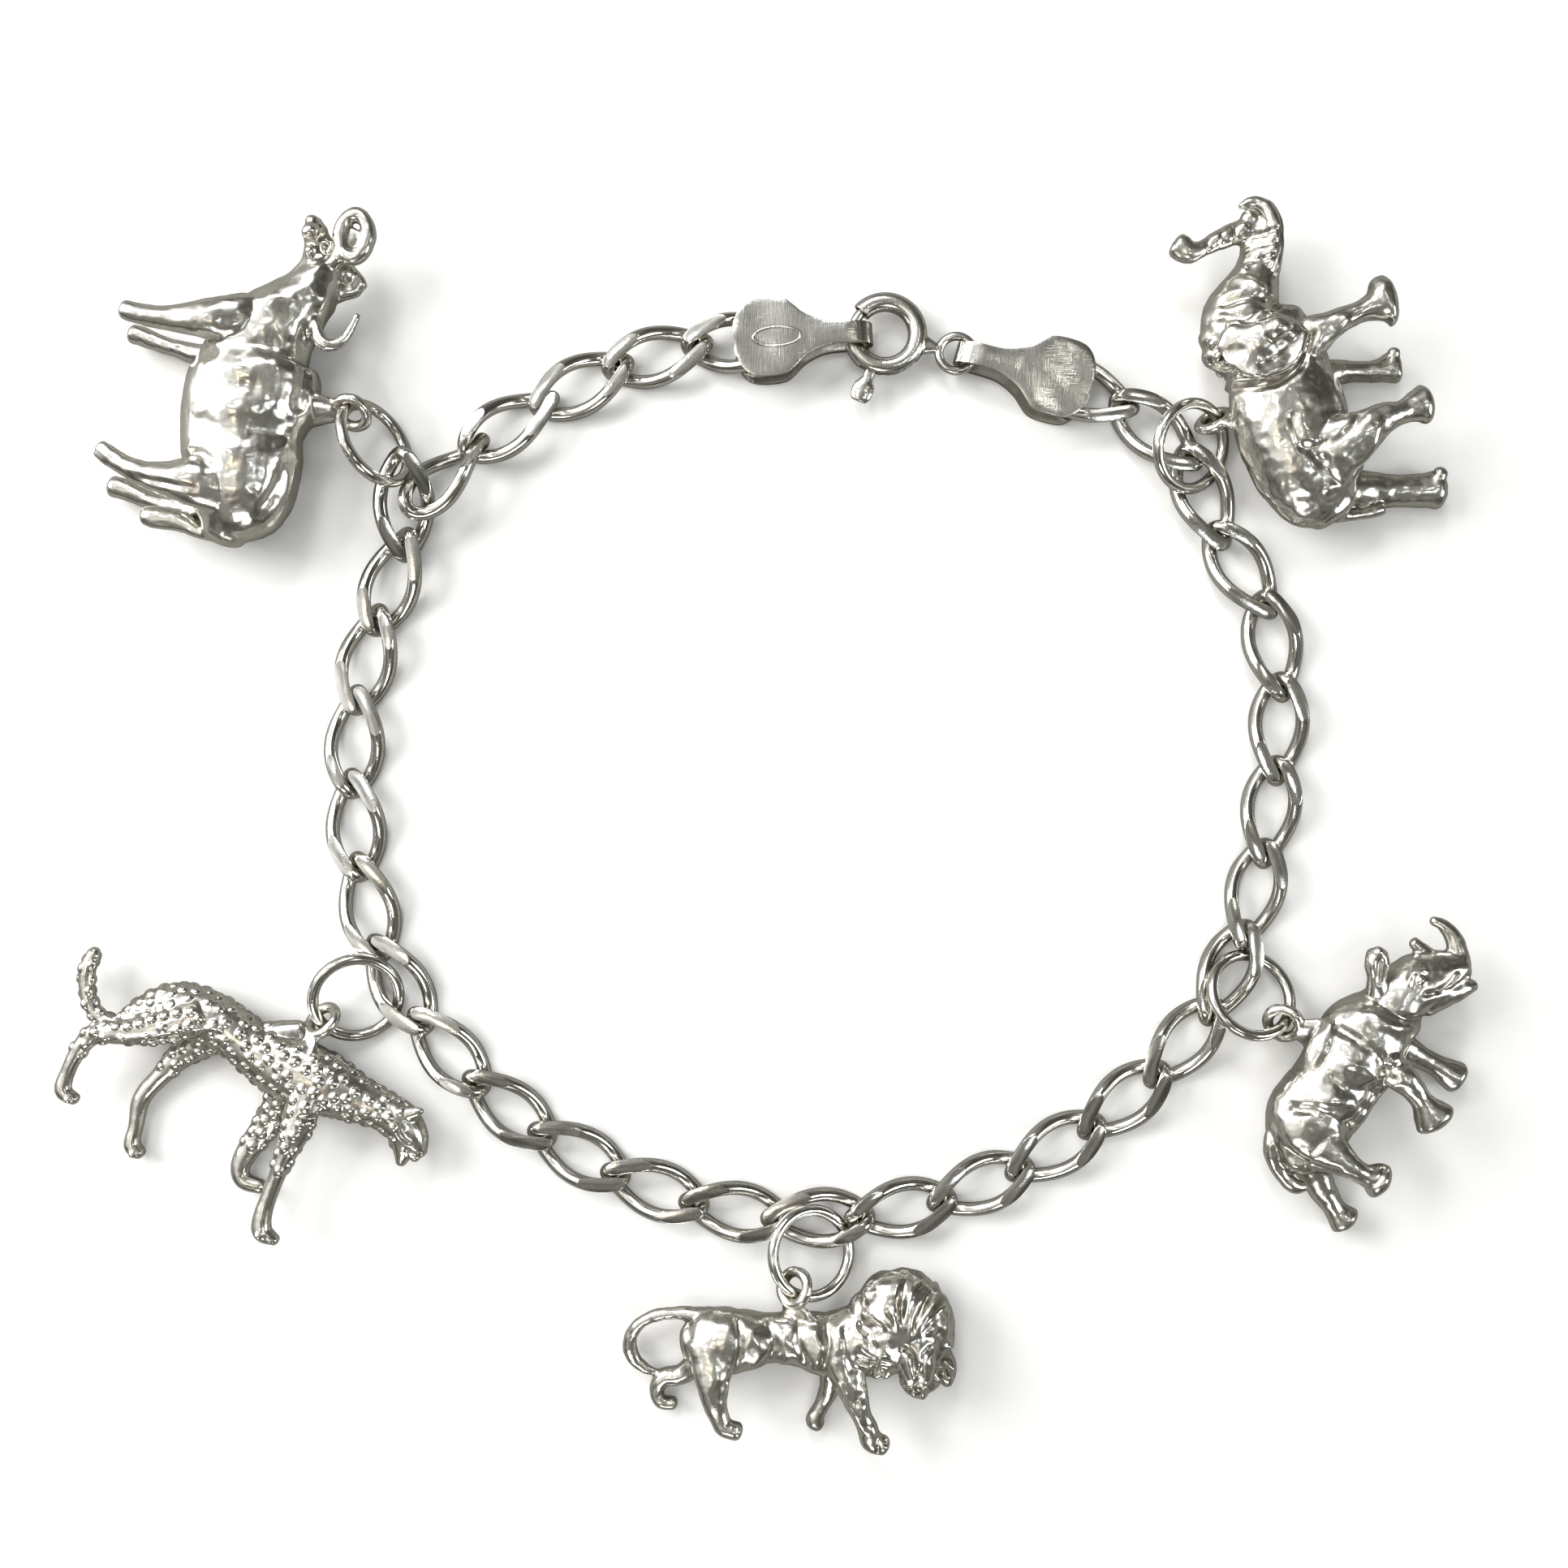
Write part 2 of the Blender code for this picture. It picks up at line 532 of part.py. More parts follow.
CHEETAH = {
    "body": (
        Cut(0.160, 0.235, 0.070, 0.026, 0.028),
        Cut(0.210, 0.272, 0.070, 0.050, 0.045),
        Cut(0.270, 0.300, 0.070, 0.066, 0.055),
        Cut(0.340, 0.306, 0.070, 0.068, 0.060),
        Cut(0.410, 0.295, 0.070, 0.062, 0.058),
        Cut(0.480, 0.270, 0.070, 0.066, 0.056),
        Cut(0.550, 0.255, 0.070, 0.080, 0.060),
        Cut(0.620, 0.246, 0.070, 0.088, 0.063),
        Cut(0.690, 0.241, 0.072, 0.078, 0.060),
        Cut(0.760, 0.234, 0.074, 0.062, 0.050),
        Cut(0.830, 0.230, 0.076, 0.050, 0.045),
        Cut(0.885, 0.217, 0.078, 0.052, 0.045),
        Cut(0.925, 0.188, 0.078, 0.044, 0.037),
        Cut(0.948, 0.158, 0.078, 0.028, 0.026),
    ),
    "chin": (
        Cut(0.900, 0.190, 0.078, 0.038, 0.034),
        Cut(0.915, 0.150, 0.078, 0.026, 0.026),
        Cut(0.918, 0.122, 0.078, 0.014, 0.016),
    ),
    "near_ear": (
        Cut(0.890, 0.240, 0.100, 0.022, 0.018),
        Cut(0.915, 0.258, 0.108, 0.016, 0.012),
        Cut(0.930, 0.268, 0.110, 0.008, 0.008),
    ),
    "near_hind_leg": (
        Cut(0.340, 0.308, 0.108, 0.046, 0.028),
        Cut(0.260, 0.255, 0.118, 0.045, 0.029),
        Cut(0.180, 0.215, 0.120, 0.032, 0.027),
        Cut(0.115, 0.188, 0.118, 0.028, 0.024),
        Cut(0.090, 0.140, 0.115, 0.022, 0.020),
        Cut(0.080, 0.080, 0.112, 0.019, 0.018),
        Cut(0.083, 0.030, 0.110, 0.022, 0.019),
        Cut(0.118, 0.018, 0.110, 0.016, 0.018),
    ),
    "far_hind_leg": (
        Cut(0.370, 0.255, 0.045, 0.042, 0.034),
        Cut(0.310, 0.190, 0.033, 0.036, 0.026),
        Cut(0.275, 0.120, 0.030, 0.026, 0.022),
        Cut(0.247, 0.050, 0.028, 0.024, 0.020),
        Cut(0.256, -0.020, 0.028, 0.019, 0.019),
        Cut(0.262, -0.068, 0.028, 0.022, 0.021),
        Cut(0.288, -0.082, 0.028, 0.018, 0.020),
    ),
    "near_front_leg": (
        Cut(0.650, 0.220, 0.105, 0.050, 0.030),
        Cut(0.655, 0.130, 0.116, 0.040, 0.028),
        Cut(0.650, 0.050, 0.115, 0.026, 0.022),
        Cut(0.645, -0.030, 0.112, 0.020, 0.019),
        Cut(0.645, -0.100, 0.112, 0.024, 0.021),
        Cut(0.658, -0.138, 0.112, 0.026, 0.023),
        Cut(0.695, -0.148, 0.112, 0.014, 0.018),
    ),
    "far_front_leg": (
        Cut(0.585, 0.200, 0.045, 0.042, 0.034),
        Cut(0.567, 0.100, 0.032, 0.038, 0.026),
        Cut(0.545, 0.030, 0.029, 0.032, 0.022),
        Cut(0.535, -0.030, 0.028, 0.026, 0.021),
        Cut(0.556, -0.062, 0.028, 0.022, 0.021),
        Cut(0.602, -0.062, 0.028, 0.019, 0.019),
    ),
    "tail": (
        Cut(0.200, 0.250, 0.070, 0.032, 0.030),
        Cut(0.135, 0.217, 0.070, 0.021, 0.021),
        Cut(0.080, 0.228, 0.070, 0.020, 0.020),
        Cut(0.046, 0.268, 0.070, 0.020, 0.020),
        Cut(0.030, 0.318, 0.070, 0.021, 0.021),
        Cut(0.033, 0.362, 0.070, 0.020, 0.020),
    ),
}

# Where each animal lies: its length, the way its body runs, whether it lies on its right side
# instead of its left, and where its hanging loop is rooted, as a place and in its own shares
CHARMS = {
    "buffalo": {
        "forms": BUFFALO,
        "length": BUFFALO_LENGTH,
        "root_at": (-29.13 * MM, 27.03 * MM),
        "heading": math.radians(82),
        "right_side_down": False,
        "root": (0.49, 0.53, 0.14),
    },
    "elephant": {
        "forms": ELEPHANT,
        "length": ELEPHANT_LENGTH,
        "root_at": (30.74 * MM, 26.37 * MM),
        "heading": math.radians(92),
        "right_side_down": True,
        "root": (0.32, 0.62, 0.13),
    },
    "rhinoceros": {
        "forms": RHINOCEROS,
        "length": RHINOCEROS_LENGTH,
        "root_at": (35.61 * MM, -12.65 * MM),
        "heading": math.radians(68),
        "right_side_down": True,
        "root": (0.62, 0.42, 0.12),
    },
    "lion": {
        "forms": LION,
        "length": LION_LENGTH,
        "root_at": (2.39 * MM, -30.75 * MM),
        "heading": math.radians(0),
        "right_side_down": True,
        "root": (0.53, 0.42, 0.10),
    },
    "cheetah": {
        "forms": CHEETAH,
        "length": CHEETAH_LENGTH,
        "root_at": (-29.44 * MM, -13.72 * MM),
        "heading": math.radians(-19),
        "right_side_down": True,
        "root": (0.60, 0.30, 0.07),
    },
}
CAST_SIDES = 8
STEM_WIDTH = 1.5 * MM
END_SCALE = 0.7
END_BULGE = 0.35

# Sizes that follow from the ones above
LINK_ALONG = (LINK_LENGTH - LINK_WIRE) / 2
LINK_ACROSS = (LINK_WIDTH - LINK_WIRE) / 2
LINK_PITCH = LINK_LENGTH - 2 * LINK_WIRE - LINK_PLAY
LINK_HEIGHT = LINK_THICKNESS / 2
RING_RADIUS = (RING_DIAMETER - RING_WIRE) / 2
BAIL_RADIUS = (BAIL_DIAMETER - BAIL_WIRE) / 2
EYE_RADIUS = (EYE_DIAMETER - EYE_WIRE) / 2
TAB_GAP = LINK_THICKNESS + 2 * TAB_CLEARANCE
TAB_HEIGHT = TAB_SHEET + TAB_GAP / 2
UP = Vector((0, 0, 1))


def clear_scene():
    for thing in list(bpy.data.objects):
        bpy.data.objects.remove(thing, do_unlink=True)


def metal(name, colour, roughness):
    material = bpy.data.materials.new(name)
    material.use_nodes = True
    shader = material.node_tree.nodes["Principled BSDF"]
    shader.inputs["Base Color"].default_value = (*colour, 1)
    shader.inputs["Metallic"].default_value = 1
    shader.inputs["Roughness"].default_value = roughness
    return material


def heading(angle):
    return Vector((math.cos(angle), math.sin(angle), 0))


def tangents(path, closed):
    """Unit directions along a path of points."""
    count = len(path)
    found = []
    for index in range(count):
        if closed:
            before, after = path[index - 1], path[(index + 1) % count]
        else:
            before, after = path[max(index - 1, 0)], path[min(index + 1, count - 1)]
        found.append((after - before).normalized())
    return found


def skin(name, rings, closed, material):
    """A mesh object through rings of points, joined end to end or with flat caps."""
    sides = len(rings[0])
    points = [point for ring in rings for point in ring]
    faces = []
    for index in range(len(rings) if closed else len(rings) - 1):
        here, there = index * sides, (index + 1) % len(rings) * sides
        for side in range(sides):
            after = (side + 1) % sides
            faces.append((here + side, here + after, there + after, there + side))
    if not closed:
        last = (len(rings) - 1) * sides
        faces.append(tuple(range(sides)))
        faces.append(tuple(range(last, last + sides)))
    mesh = bpy.data.meshes.new(name)
    mesh.from_pydata(points, [], faces)
    work = bmesh.new()
    work.from_mesh(mesh)
    bmesh.ops.recalc_face_normals(work, faces=work.faces)
    work.to_mesh(mesh)
    work.free()
    mesh.shade_smooth()
    mesh.set_sharp_from_angle(angle=math.radians(40))
    mesh.materials.append(material)
    thing = bpy.data.objects.new(name, mesh)
    bpy.context.collection.objects.link(thing)
    return thing


def round_rings(path, radius, sides, closed):
    """Round cuts square to a path."""
    rings = []
    for centre, way in zip(path, tangents(path, closed)):
        across = way.cross(UP).normalized()
        over = across.cross(way)
        ring = []
        for side in range(sides):
            angle = 2 * math.pi * (side + 0.5) / sides
            ring.append(centre + radius * (math.cos(angle) * across + math.sin(angle) * over))
        rings.append(ring)
    return rings


def hide_helper(thing):
    thing.hide_render = True
    thing.display_type = "WIRE"


def combine(thing, helper, operation):
    """Joins or cuts a helper's shape, which then stays out of the part."""
    hide_helper(helper)
    modifier = thing.modifiers.new(helper.name, "BOOLEAN")
    modifier.operation = operation
    modifier.solver = "EXACT"
    modifier.object = helper


def filed_corner(height, limit, radius, lean):
    """Angle from the top of a round wire at which a filed face cuts it."""
    reach = (limit - height) / (radius * lean)
    return max(WIRE_CORNER, math.acos(max(0, min(1, reach))))


def link_rings():
    """Six-sided cuts of a twisted oval wire, with its top and bottom filed flat."""
    path = []
    for step in range(LINK_SEGMENTS):
        turn = 2 * math.pi * step / LINK_SEGMENTS
        twist = LINK_TWIST * math.cos(turn)
        across = LINK_ACROSS * math.sin(turn)
        path.append(
            Vector((LINK_ALONG * math.cos(turn), across * math.cos(twist), -across * math.sin(twist)))
        )
    rings = []
    radius = LINK_WIRE / 2
    for centre, way in zip(path, tangents(path, True)):
        across = way.cross(UP).normalized()
        over = across.cross(way)
        top = filed_corner(centre.z, LINK_HEIGHT, radius, over.z)
        bottom = math.pi - filed_corner(-centre.z, LINK_HEIGHT, radius, over.z)
        ring = []
        for angle in (top, math.pi / 2, bottom, -bottom, -math.pi / 2, -top):
            ring.append(centre + radius * (math.sin(angle) * across + math.cos(angle) * over))
        rings.append(ring)
    return rings


def smooth_curve(points):
    """Close points on a smooth curve through chosen ones."""
    ends = [2 * points[0] - points[1], *points, 2 * points[-1] - points[-2]]
    curve = []
    for index in range(1, len(ends) - 2):
        a, b, c, d = ends[index - 1 : index + 3]
        for step in range(CURVE_STEPS):
            t = step / CURVE_STEPS
            curve.append(
                0.5
                * (
                    2 * b
                    + (c - a) * t
                    + (2 * a - 5 * b + 4 * c - d) * t**2
                    + (3 * b - a - 3 * c + d) * t**3
                )
            )
    curve.append(points[-1])
    return curve


def walk(curve, chord, count):
    """Points a chord apart along a curve, and how far along it they reached."""
    found = [curve[0]]
    for index in range(1, len(curve)):
        start, end = curve[index - 1], curve[index]
        while (end - found[-1]).length >= chord:
            low, high = 0.0, 1.0
            for _ in range(30):
                middle = (low + high) / 2
                if (start.lerp(end, middle) - found[-1]).length < chord:
                    low = middle
                else:
                    high = middle
            found.append(start.lerp(end, high))
            if len(found) == count + 1:
                return found, index - 1 + high
    return found, None


def joints_along(points):
    """Joints of a stretch of chain: as many links as fit, spread evenly over its route."""
    curve = smooth_curve(points)
    length = sum((b - a).length for a, b in zip(curve, curve[1:]))
    count = max(1, round(length / LINK_PITCH))
    short, long = 0.8 * length / count, 1.05 * length / count
    for _ in range(40):
        chord = (short + long) / 2
        if walk(curve, chord, count)[1] is None:
            long = chord
        else:
            short = chord
    return walk(curve, short, count)[0]


def placed(middle, way, turn):
    """Where a link lies: round its middle, along a way and turned about it."""
    across = UP.cross(way).normalized()
    frame = Matrix((way, across, way.cross(across))).transposed().to_4x4()
    return Matrix.Translation(middle) @ frame @ Matrix.Rotation(turn, 4, "X")


def settled(row):
    """Where a link of the corner lies."""
    rise = math.radians(row["rise"])
    way = heading(math.radians(row["way"])) * math.cos(rise) + UP * math.sin(rise)
    return placed(Vector(row["at"]) * MM, way, math.radians(row["turn"]))


def corners(centre, across, over):
    """The four corners of a rectangle round a centre."""
    low, high = centre - over, centre + over
    return [low - across, low + across, high + across, high - across]


def tab_sheet_rings(length):
    """Cuts of the folded sheet: along the upper leaf, round the fold and back along the lower."""
    middle = (TAB_GAP + TAB_SHEET) / 2
    stations = []
    for row in reversed(TAB_OUTLINE):
        stations.append((row["along"] * length, middle, math.pi / 2, row["half_width"]))
    for step in range(1, FOLD_STEPS):
        angle = math.pi / 2 + math.pi * step / FOLD_STEPS
        place = (middle * math.cos(angle), middle * math.sin(angle))
        stations.append((*place, angle, TAB_OUTLINE[0]["half_width"]))
    for row in TAB_OUTLINE:
        stations.append((row["along"] * length, -middle, -math.pi / 2, row["half_width"]))
    rings = []
    for along, height, angle, half_width in stations:
        out = Vector((math.cos(angle), 0, math.sin(angle))) * TAB_SHEET / 2
        side = Vector((0, half_width * TAB_WIDTH / 2, 0))
        centre = Vector((along, 0, height))
        rings.append(corners(centre, side, -out))
    return rings


def make_tab(name, middle, hole, angle, material):
    """A folded leaf tab hooked through a round hole; gives the place of its post."""
    way = heading(angle)
    half_width = TAB_OUTLINE[0]["half_width"] * TAB_WIDTH / 2
    edge = math.sqrt(hole**2 - half_width**2)
    fold = Vector((middle.x, middle.y, TAB_HEIGHT)) + way * (edge - FOLD_CLEARANCE + TAB_GAP / 2)
    tab = skin(name, tab_sheet_rings(TAB_LENGTH), False, material)
    post = heading(0) * TAB_POST_AT
    reach = UP * (TAB_GAP / 2 + TAB_SHEET / 2)
    rings = []
    for level in (post - reach, post + reach):
        ring = []
        for side in range(CAST_SIDES):
            ring.append(level + heading(2 * math.pi * side / CAST_SIDES) * TAB_POST / 2)
        rings.append(ring)
    helper = skin(name + "_post", rings, False, material)
    helper.parent = tab
    combine(tab, helper, "UNION")
    tab.matrix_world = Matrix.Translation(fold) @ Matrix.Rotation(angle, 4, "Z")
    return fold + way * TAB_POST_AT


def arc(radius, start, end, step):
    count = max(2, math.ceil(abs(end - start) / step) + 1)
    return [heading(start + (end - start) * index / (count - 1)) * radius for index in range(count)]


def make_clasp_ring(name, material):
    """The clasp's hollow ring, with a slot for the lever and its eye soldered on."""
    tube_path = arc(CLASP_RADIUS, GAP_END, GAP_START + 2 * math.pi, CLASP_STEP)
    body = skin(name, round_rings(tube_path, CLASP_TUBE / 2, CLASP_SIDES, False), False, material)
    past = math.radians(4)
    bore_path = arc(CLASP_RADIUS, GAP_END - past, SLOT_END, CLASP_STEP)
    bore = skin(
        name + "_bore", round_rings(bore_path, CLASP_BORE / 2, CLASP_SIDES, False), False, material
    )
    socket_path = arc(CLASP_RADIUS, GAP_START - SOCKET_DEPTH, GAP_START + past, CLASP_STEP)
    socket = skin(
        name + "_socket", round_rings(socket_path, CLASP_BORE / 2, CLASP_SIDES, False), False, material
    )
    slot_rings = []
    for way in arc(1, SLOT_START, SLOT_END, CLASP_STEP):
        half = UP * SLOT_WIDTH / 2
        inner, outer = way * CLASP_RADIUS, way * (CLASP_RADIUS + CLASP_TUBE)
        slot_rings.append([inner - half, outer - half, outer + half, inner + half])
    slot = skin(name + "_slot", slot_rings, False, material)
    way = heading(EYE_ANGLE)
    eye_path = [
        way * EYE_REACH + point for point in arc(EYE_RADIUS, 0, 2 * math.pi, EYE_STEP)[:-1]
    ]
    eye = skin(name + "_eye", round_rings(eye_path, EYE_WIRE / 2, WIRE_SIDES, True), True, material)
    neck_path = [
        way * (CLASP_RADIUS + CLASP_TUBE * share) for share in (0.3, 0.6)
    ] + [way * (EYE_REACH - EYE_RADIUS * share) for share in (1.25, 1.0)]
    neck_sizes = (EYE_NECK, 0.7 * EYE_NECK, 0.4 * EYE_NECK, 0.3 * EYE_NECK)
    neck_rings = []
    for centre, size in zip(neck_path, neck_sizes):
        across = way.cross(UP) * size
        over = UP * min(size, EYE_WIRE) * 0.8
        ring = []
        for side in range(WIRE_SIDES):
            angle = 2 * math.pi * side / WIRE_SIDES
            ring.append(centre + math.cos(angle) * across + math.sin(angle) * over)
        neck_rings.append(ring)
    neck = skin(name + "_neck", neck_rings, False, material)
    for helper, operation in (
        (bore, "DIFFERENCE"),
        (socket, "DIFFERENCE"),
        (slot, "DIFFERENCE"),
        (neck, "UNION"),
        (eye, "UNION"),
    ):
        helper.parent = body
        combine(body, helper, operation)
    body.location = CLASP_AT
    return body


def make_clasp_bolt(name, material):
    """The bolt that closes the clasp's gap, with its thumb lever; it turns about the ring's middle."""
    radius = CLASP_BORE / 2 - BOLT_CLEARANCE
    path = arc(CLASP_RADIUS, GAP_START - BOLT_REACH, LEVER_ANGLE + math.radians(3), CLASP_STEP)
    bolt = skin(name, round_rings(path, radius, CLASP_SIDES, False), False, material)
    way = heading(LEVER_ANGLE)
    edge = CLASP_RADIUS + CLASP_TUBE / 2
    rows = (
        (CLASP_RADIUS, LEVER_NECK, 1.0),
        (edge + 0.15 * LEVER_REACH, LEVER_NECK, 1.0),
        (edge + 0.40 * LEVER_REACH, LEVER_WIDTH, 1.3),
        (edge + 0.80 * LEVER_REACH, LEVER_WIDTH, 1.3),
        (edge + LEVER_REACH, LEVER_NECK, 0.8),
    )
    rings = []
    for reach, width, thick in rows:
        across = way.cross(UP) * width / 2
        over = UP * LEVER_THICKNESS * thick / 2
        centre = way * reach
        rings.append(corners(centre, across, over))
    lever = skin(name + "_lever", rings, False, material)
    lever.parent = bolt
    combine(bolt, lever, "UNION")
    bolt.location = CLASP_AT
    return bolt


def round_wire(name, loop, radius, wire, segments, material):
    """A closed round wire in its own tilted plane, with its object's place at the middle."""
    flat = heading(loop["rises"])
    rise = flat * math.cos(loop["tilt"]) + UP * math.sin(loop["tilt"])
    across = UP.cross(flat)
    square = rise.cross(across)
    rings = []
    for step in range(segments):
        turn = 2 * math.pi * step / segments
        out = math.cos(turn) * rise + math.sin(turn) * across
        ring = []
        for side in range(WIRE_SIDES):
            angle = 2 * math.pi * (side + 0.5) / WIRE_SIDES
            ring.append(out * radius + wire / 2 * (math.cos(angle) * out + math.sin(angle) * square))
        rings.append(ring)
    thing = skin(name, rings, True, material)
    thing.location = loop["at"]
    return thing


def place_of(charm, along, up, out):
    """A charm's own place, in shares of its length, as a place in the bracelet."""
    way = heading(charm["heading"])
    rise = UP.cross(way) if charm["right_side_down"] else way.cross(UP)
    root_along, root_up, _ = charm["root"]
    root = Vector((*charm["root_at"], 0))
    shares = (along - root_along) * way + (up - root_up) * rise + out * UP
    return root + shares * charm["length"]


def cut_rings(charm, cuts):
    """Oval rings through a form's cuts, with a smaller ring past each end to round it."""
    middles = [place_of(charm, cut.along, cut.up, cut.out) for cut in cuts]
    length = charm["length"]
    rings = []
    for middle, way, cut in zip(middles, tangents(middles, False), cuts):
        tall = way.cross(UP).normalized() * cut.tall * length
        thick = tall.cross(way).normalized() * cut.thick * length
        ring = []
        for side in range(CAST_SIDES):
            angle = 2 * math.pi * (side + 0.5) / CAST_SIDES
            ring.append(middle + math.cos(angle) * tall + math.sin(angle) * thick)
        rings.append(ring)
    for end, inside, cut in ((0, 1, cuts[0]), (-1, -2, cuts[-1])):
        out = (middles[end] - middles[inside]).normalized()
        bulge = out * END_BULGE * min(cut.tall, cut.thick) * length
        ring = [middles[end] + (point - middles[end]) * END_SCALE + bulge for point in rings[end]]
        rings.insert(0 if end == 0 else len(rings), ring)
    return rings


def make_stem(name, charm, loop, material):
    """The short bar that roots a charm's hanging loop in its back."""
    middle = Vector(loop["at"])
    root = place_of(charm, *charm["root"])
    flat = heading(loop["rises"])
    rise = flat * math.cos(loop["tilt"]) + UP * math.sin(loop["tilt"])
    across = UP.cross(flat)
    way = root - middle
    foot = middle + (rise * way.dot(rise) + across * way.dot(across)).normalized() * BAIL_RADIUS
    way = (root - foot).normalized()
    side = way.cross(UP).normalized()
    over = side.cross(way)
    rings = []
    for share in (0, 0.5, 1):
        place = foot.lerp(root, share)
        half = (BAIL_WIRE + (STEM_WIDTH - BAIL_WIRE) * share) / 2
        ring = []
        for corner in range(WIRE_SIDES):
            angle = 2 * math.pi * corner / WIRE_SIDES
            ring.append(place + half * (math.cos(angle) * side + math.sin(angle) * over))
        rings.append(ring)
    return skin(name + "_stem", rings, False, material)


def make_charm(name, charm, loop, material):
    forms = {}
    for form, cuts in charm["forms"].items():
        forms[form] = skin(f"{name}_{form}", cut_rings(charm, cuts), False, material)
    body = forms.pop("body")
    body.name = name
    stem = make_stem(name, charm, loop, material)
    wire = round_wire(name + "_loop", loop, BAIL_RADIUS, BAIL_WIRE, BAIL_SEGMENTS, material)
    for helper in (*forms.values(), stem, wire):
        combine(body, helper, "UNION")


def make_chain(start, end, material):
    """Every link, laid along both stretches of the route, with those of the corner settled."""
    from_corner = [Vector((*point, LINK_HEIGHT)) for point in ROUTE_FROM_CORNER]
    from_corner[-1] += UP * END_LIFT
    second = joints_along([*from_corner, end])
    corner_way = (second[1] - second[0]).normalized()
    side = (UP.cross(corner_way)) * (LINK_ACROSS - (LINK_WIRE + LINK_PLAY) / 2)
    hook = (second[0] + second[1]) / 2 + corner_way * CORNER_HOOK + side
    to_corner = [Vector((*point, LINK_HEIGHT)) for point in ROUTE_TO_CORNER]
    to_corner[0] += UP * END_LIFT
    first = joints_along([start, *to_corner, hook])
    spans = list(zip(first, first[1:])) + list(zip(second, second[1:]))
    shape = skin("link", link_rings(), True, material)
    for index, (left, right) in enumerate(spans, 1):
        link = shape if index == 1 else bpy.data.objects.new("link", shape.data.copy())
        if index > 1:
            bpy.context.collection.objects.link(link)
        link.name = f"link_{index:02d}"
        if index in SETTLED_LINKS:
            link.matrix_world = settled(SETTLED_LINKS[index])
        else:
            link.matrix_world = placed((left + right) / 2, (right - left).normalized(), 0)


def main():
    clear_scene()
    chain_silver = metal("chain_silver", (0.82, 0.82, 0.79), 0.14)
    clasp_silver = metal("clasp_silver", (0.80, 0.80, 0.77), 0.18)
    cast_silver = metal("cast_silver", (0.74, 0.73, 0.68), 0.26)
    make_clasp_ring("clasp_ring", clasp_silver)
    make_clasp_bolt("clasp_bolt", clasp_silver)
    ring = Vector(CLASP_AT)
    ring_hole = CLASP_RADIUS * math.cos(CLASP_STEP / 2) - CLASP_TUBE / 2
    left_post = make_tab("tab_left", ring, ring_hole, LEFT_TAB_HEADING, clasp_silver)
    eye = ring + heading(EYE_ANGLE) * EYE_REACH
    eye_hole = EYE_RADIUS * math.cos(EYE_STEP / 2) - EYE_WIRE / 2
    right_post = make_tab("tab_right", eye, eye_hole, RIGHT_TAB_HEADING, clasp_silver)
    setback = (TAB_POST - LINK_PLAY) / 2 + POST_CLEARANCE
    start = left_post - heading(LEFT_TAB_HEADING) * setback + UP * POST_LIFT
    end = right_post - heading(RIGHT_TAB_HEADING) * setback + UP * POST_LIFT
    make_chain(start, end, chain_silver)
    for name, hanger in HANGERS.items():
        ring = hanger["ring"]
        round_wire("jump_ring_" + name, ring, RING_RADIUS, RING_WIRE, RING_SEGMENTS, chain_silver)
        make_charm("charm_" + name, CHARMS[name], hanger["loop"], cast_silver)
    for thing in bpy.data.objects:
        if thing.parent is None:
            thing.location -= Vector(BOX_MIDDLE)


main()
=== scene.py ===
"""Looks of a silver charm bracelet: a filed curb chain, five cast animals and a bolt ring clasp.

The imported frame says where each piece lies. Pieces are shaped in millimetres and brought to
metres when they are finished. The camera stands straight above, as in the photograph.
"""

import math
import random
from collections import namedtuple

import bpy
import numpy as np
from bpy.props import FloatProperty, FloatVectorProperty, PointerProperty
from mathutils import Matrix, Vector
from mathutils.kdtree import KDTree


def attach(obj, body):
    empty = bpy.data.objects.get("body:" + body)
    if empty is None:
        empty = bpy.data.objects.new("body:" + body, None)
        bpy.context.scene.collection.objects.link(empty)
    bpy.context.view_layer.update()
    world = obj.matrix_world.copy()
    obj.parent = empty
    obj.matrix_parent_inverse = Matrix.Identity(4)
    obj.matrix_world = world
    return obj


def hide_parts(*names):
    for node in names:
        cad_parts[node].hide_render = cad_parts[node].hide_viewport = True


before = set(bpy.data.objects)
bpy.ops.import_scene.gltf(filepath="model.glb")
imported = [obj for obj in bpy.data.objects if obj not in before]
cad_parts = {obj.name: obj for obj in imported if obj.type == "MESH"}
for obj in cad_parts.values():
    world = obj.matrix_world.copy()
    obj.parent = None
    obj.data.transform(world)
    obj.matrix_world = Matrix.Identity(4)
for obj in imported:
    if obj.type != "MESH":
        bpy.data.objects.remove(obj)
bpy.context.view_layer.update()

bl_info = {
    "name": "Animal charm bracelet",
    "version": (1, 0, 0),
    "blender": (4, 5, 0),
    "location": "3D View > Sidebar > Bracelet",
    "description": "Dresses the frame of a silver charm bracelet: chain, clasp, tabs and cast animals",
    "category": "Object",
}

MM = 0.001
UP = Vector((0, 0, 1))

# Shape of a link, in millimetres
LINK_LENGTH = 7.45
LINK_WIDTH = 3.9
LINK_HALF_THICKNESS = 0.75
LINK_TWIST = math.radians(54)
LINK_LEANS = ((0.0, 0.0), (0.06, 0.03), (-0.05, 0.05), (0.03, -0.07), (-0.06, -0.03))
LINK_STEPS = 80
LINK_SIDES = 24
LINK_ROUNDING = 0.03

# Jump rings, in millimetres
RING_RADIUS = 2.68
RING_STEPS = 112
RING_SIDES = 20

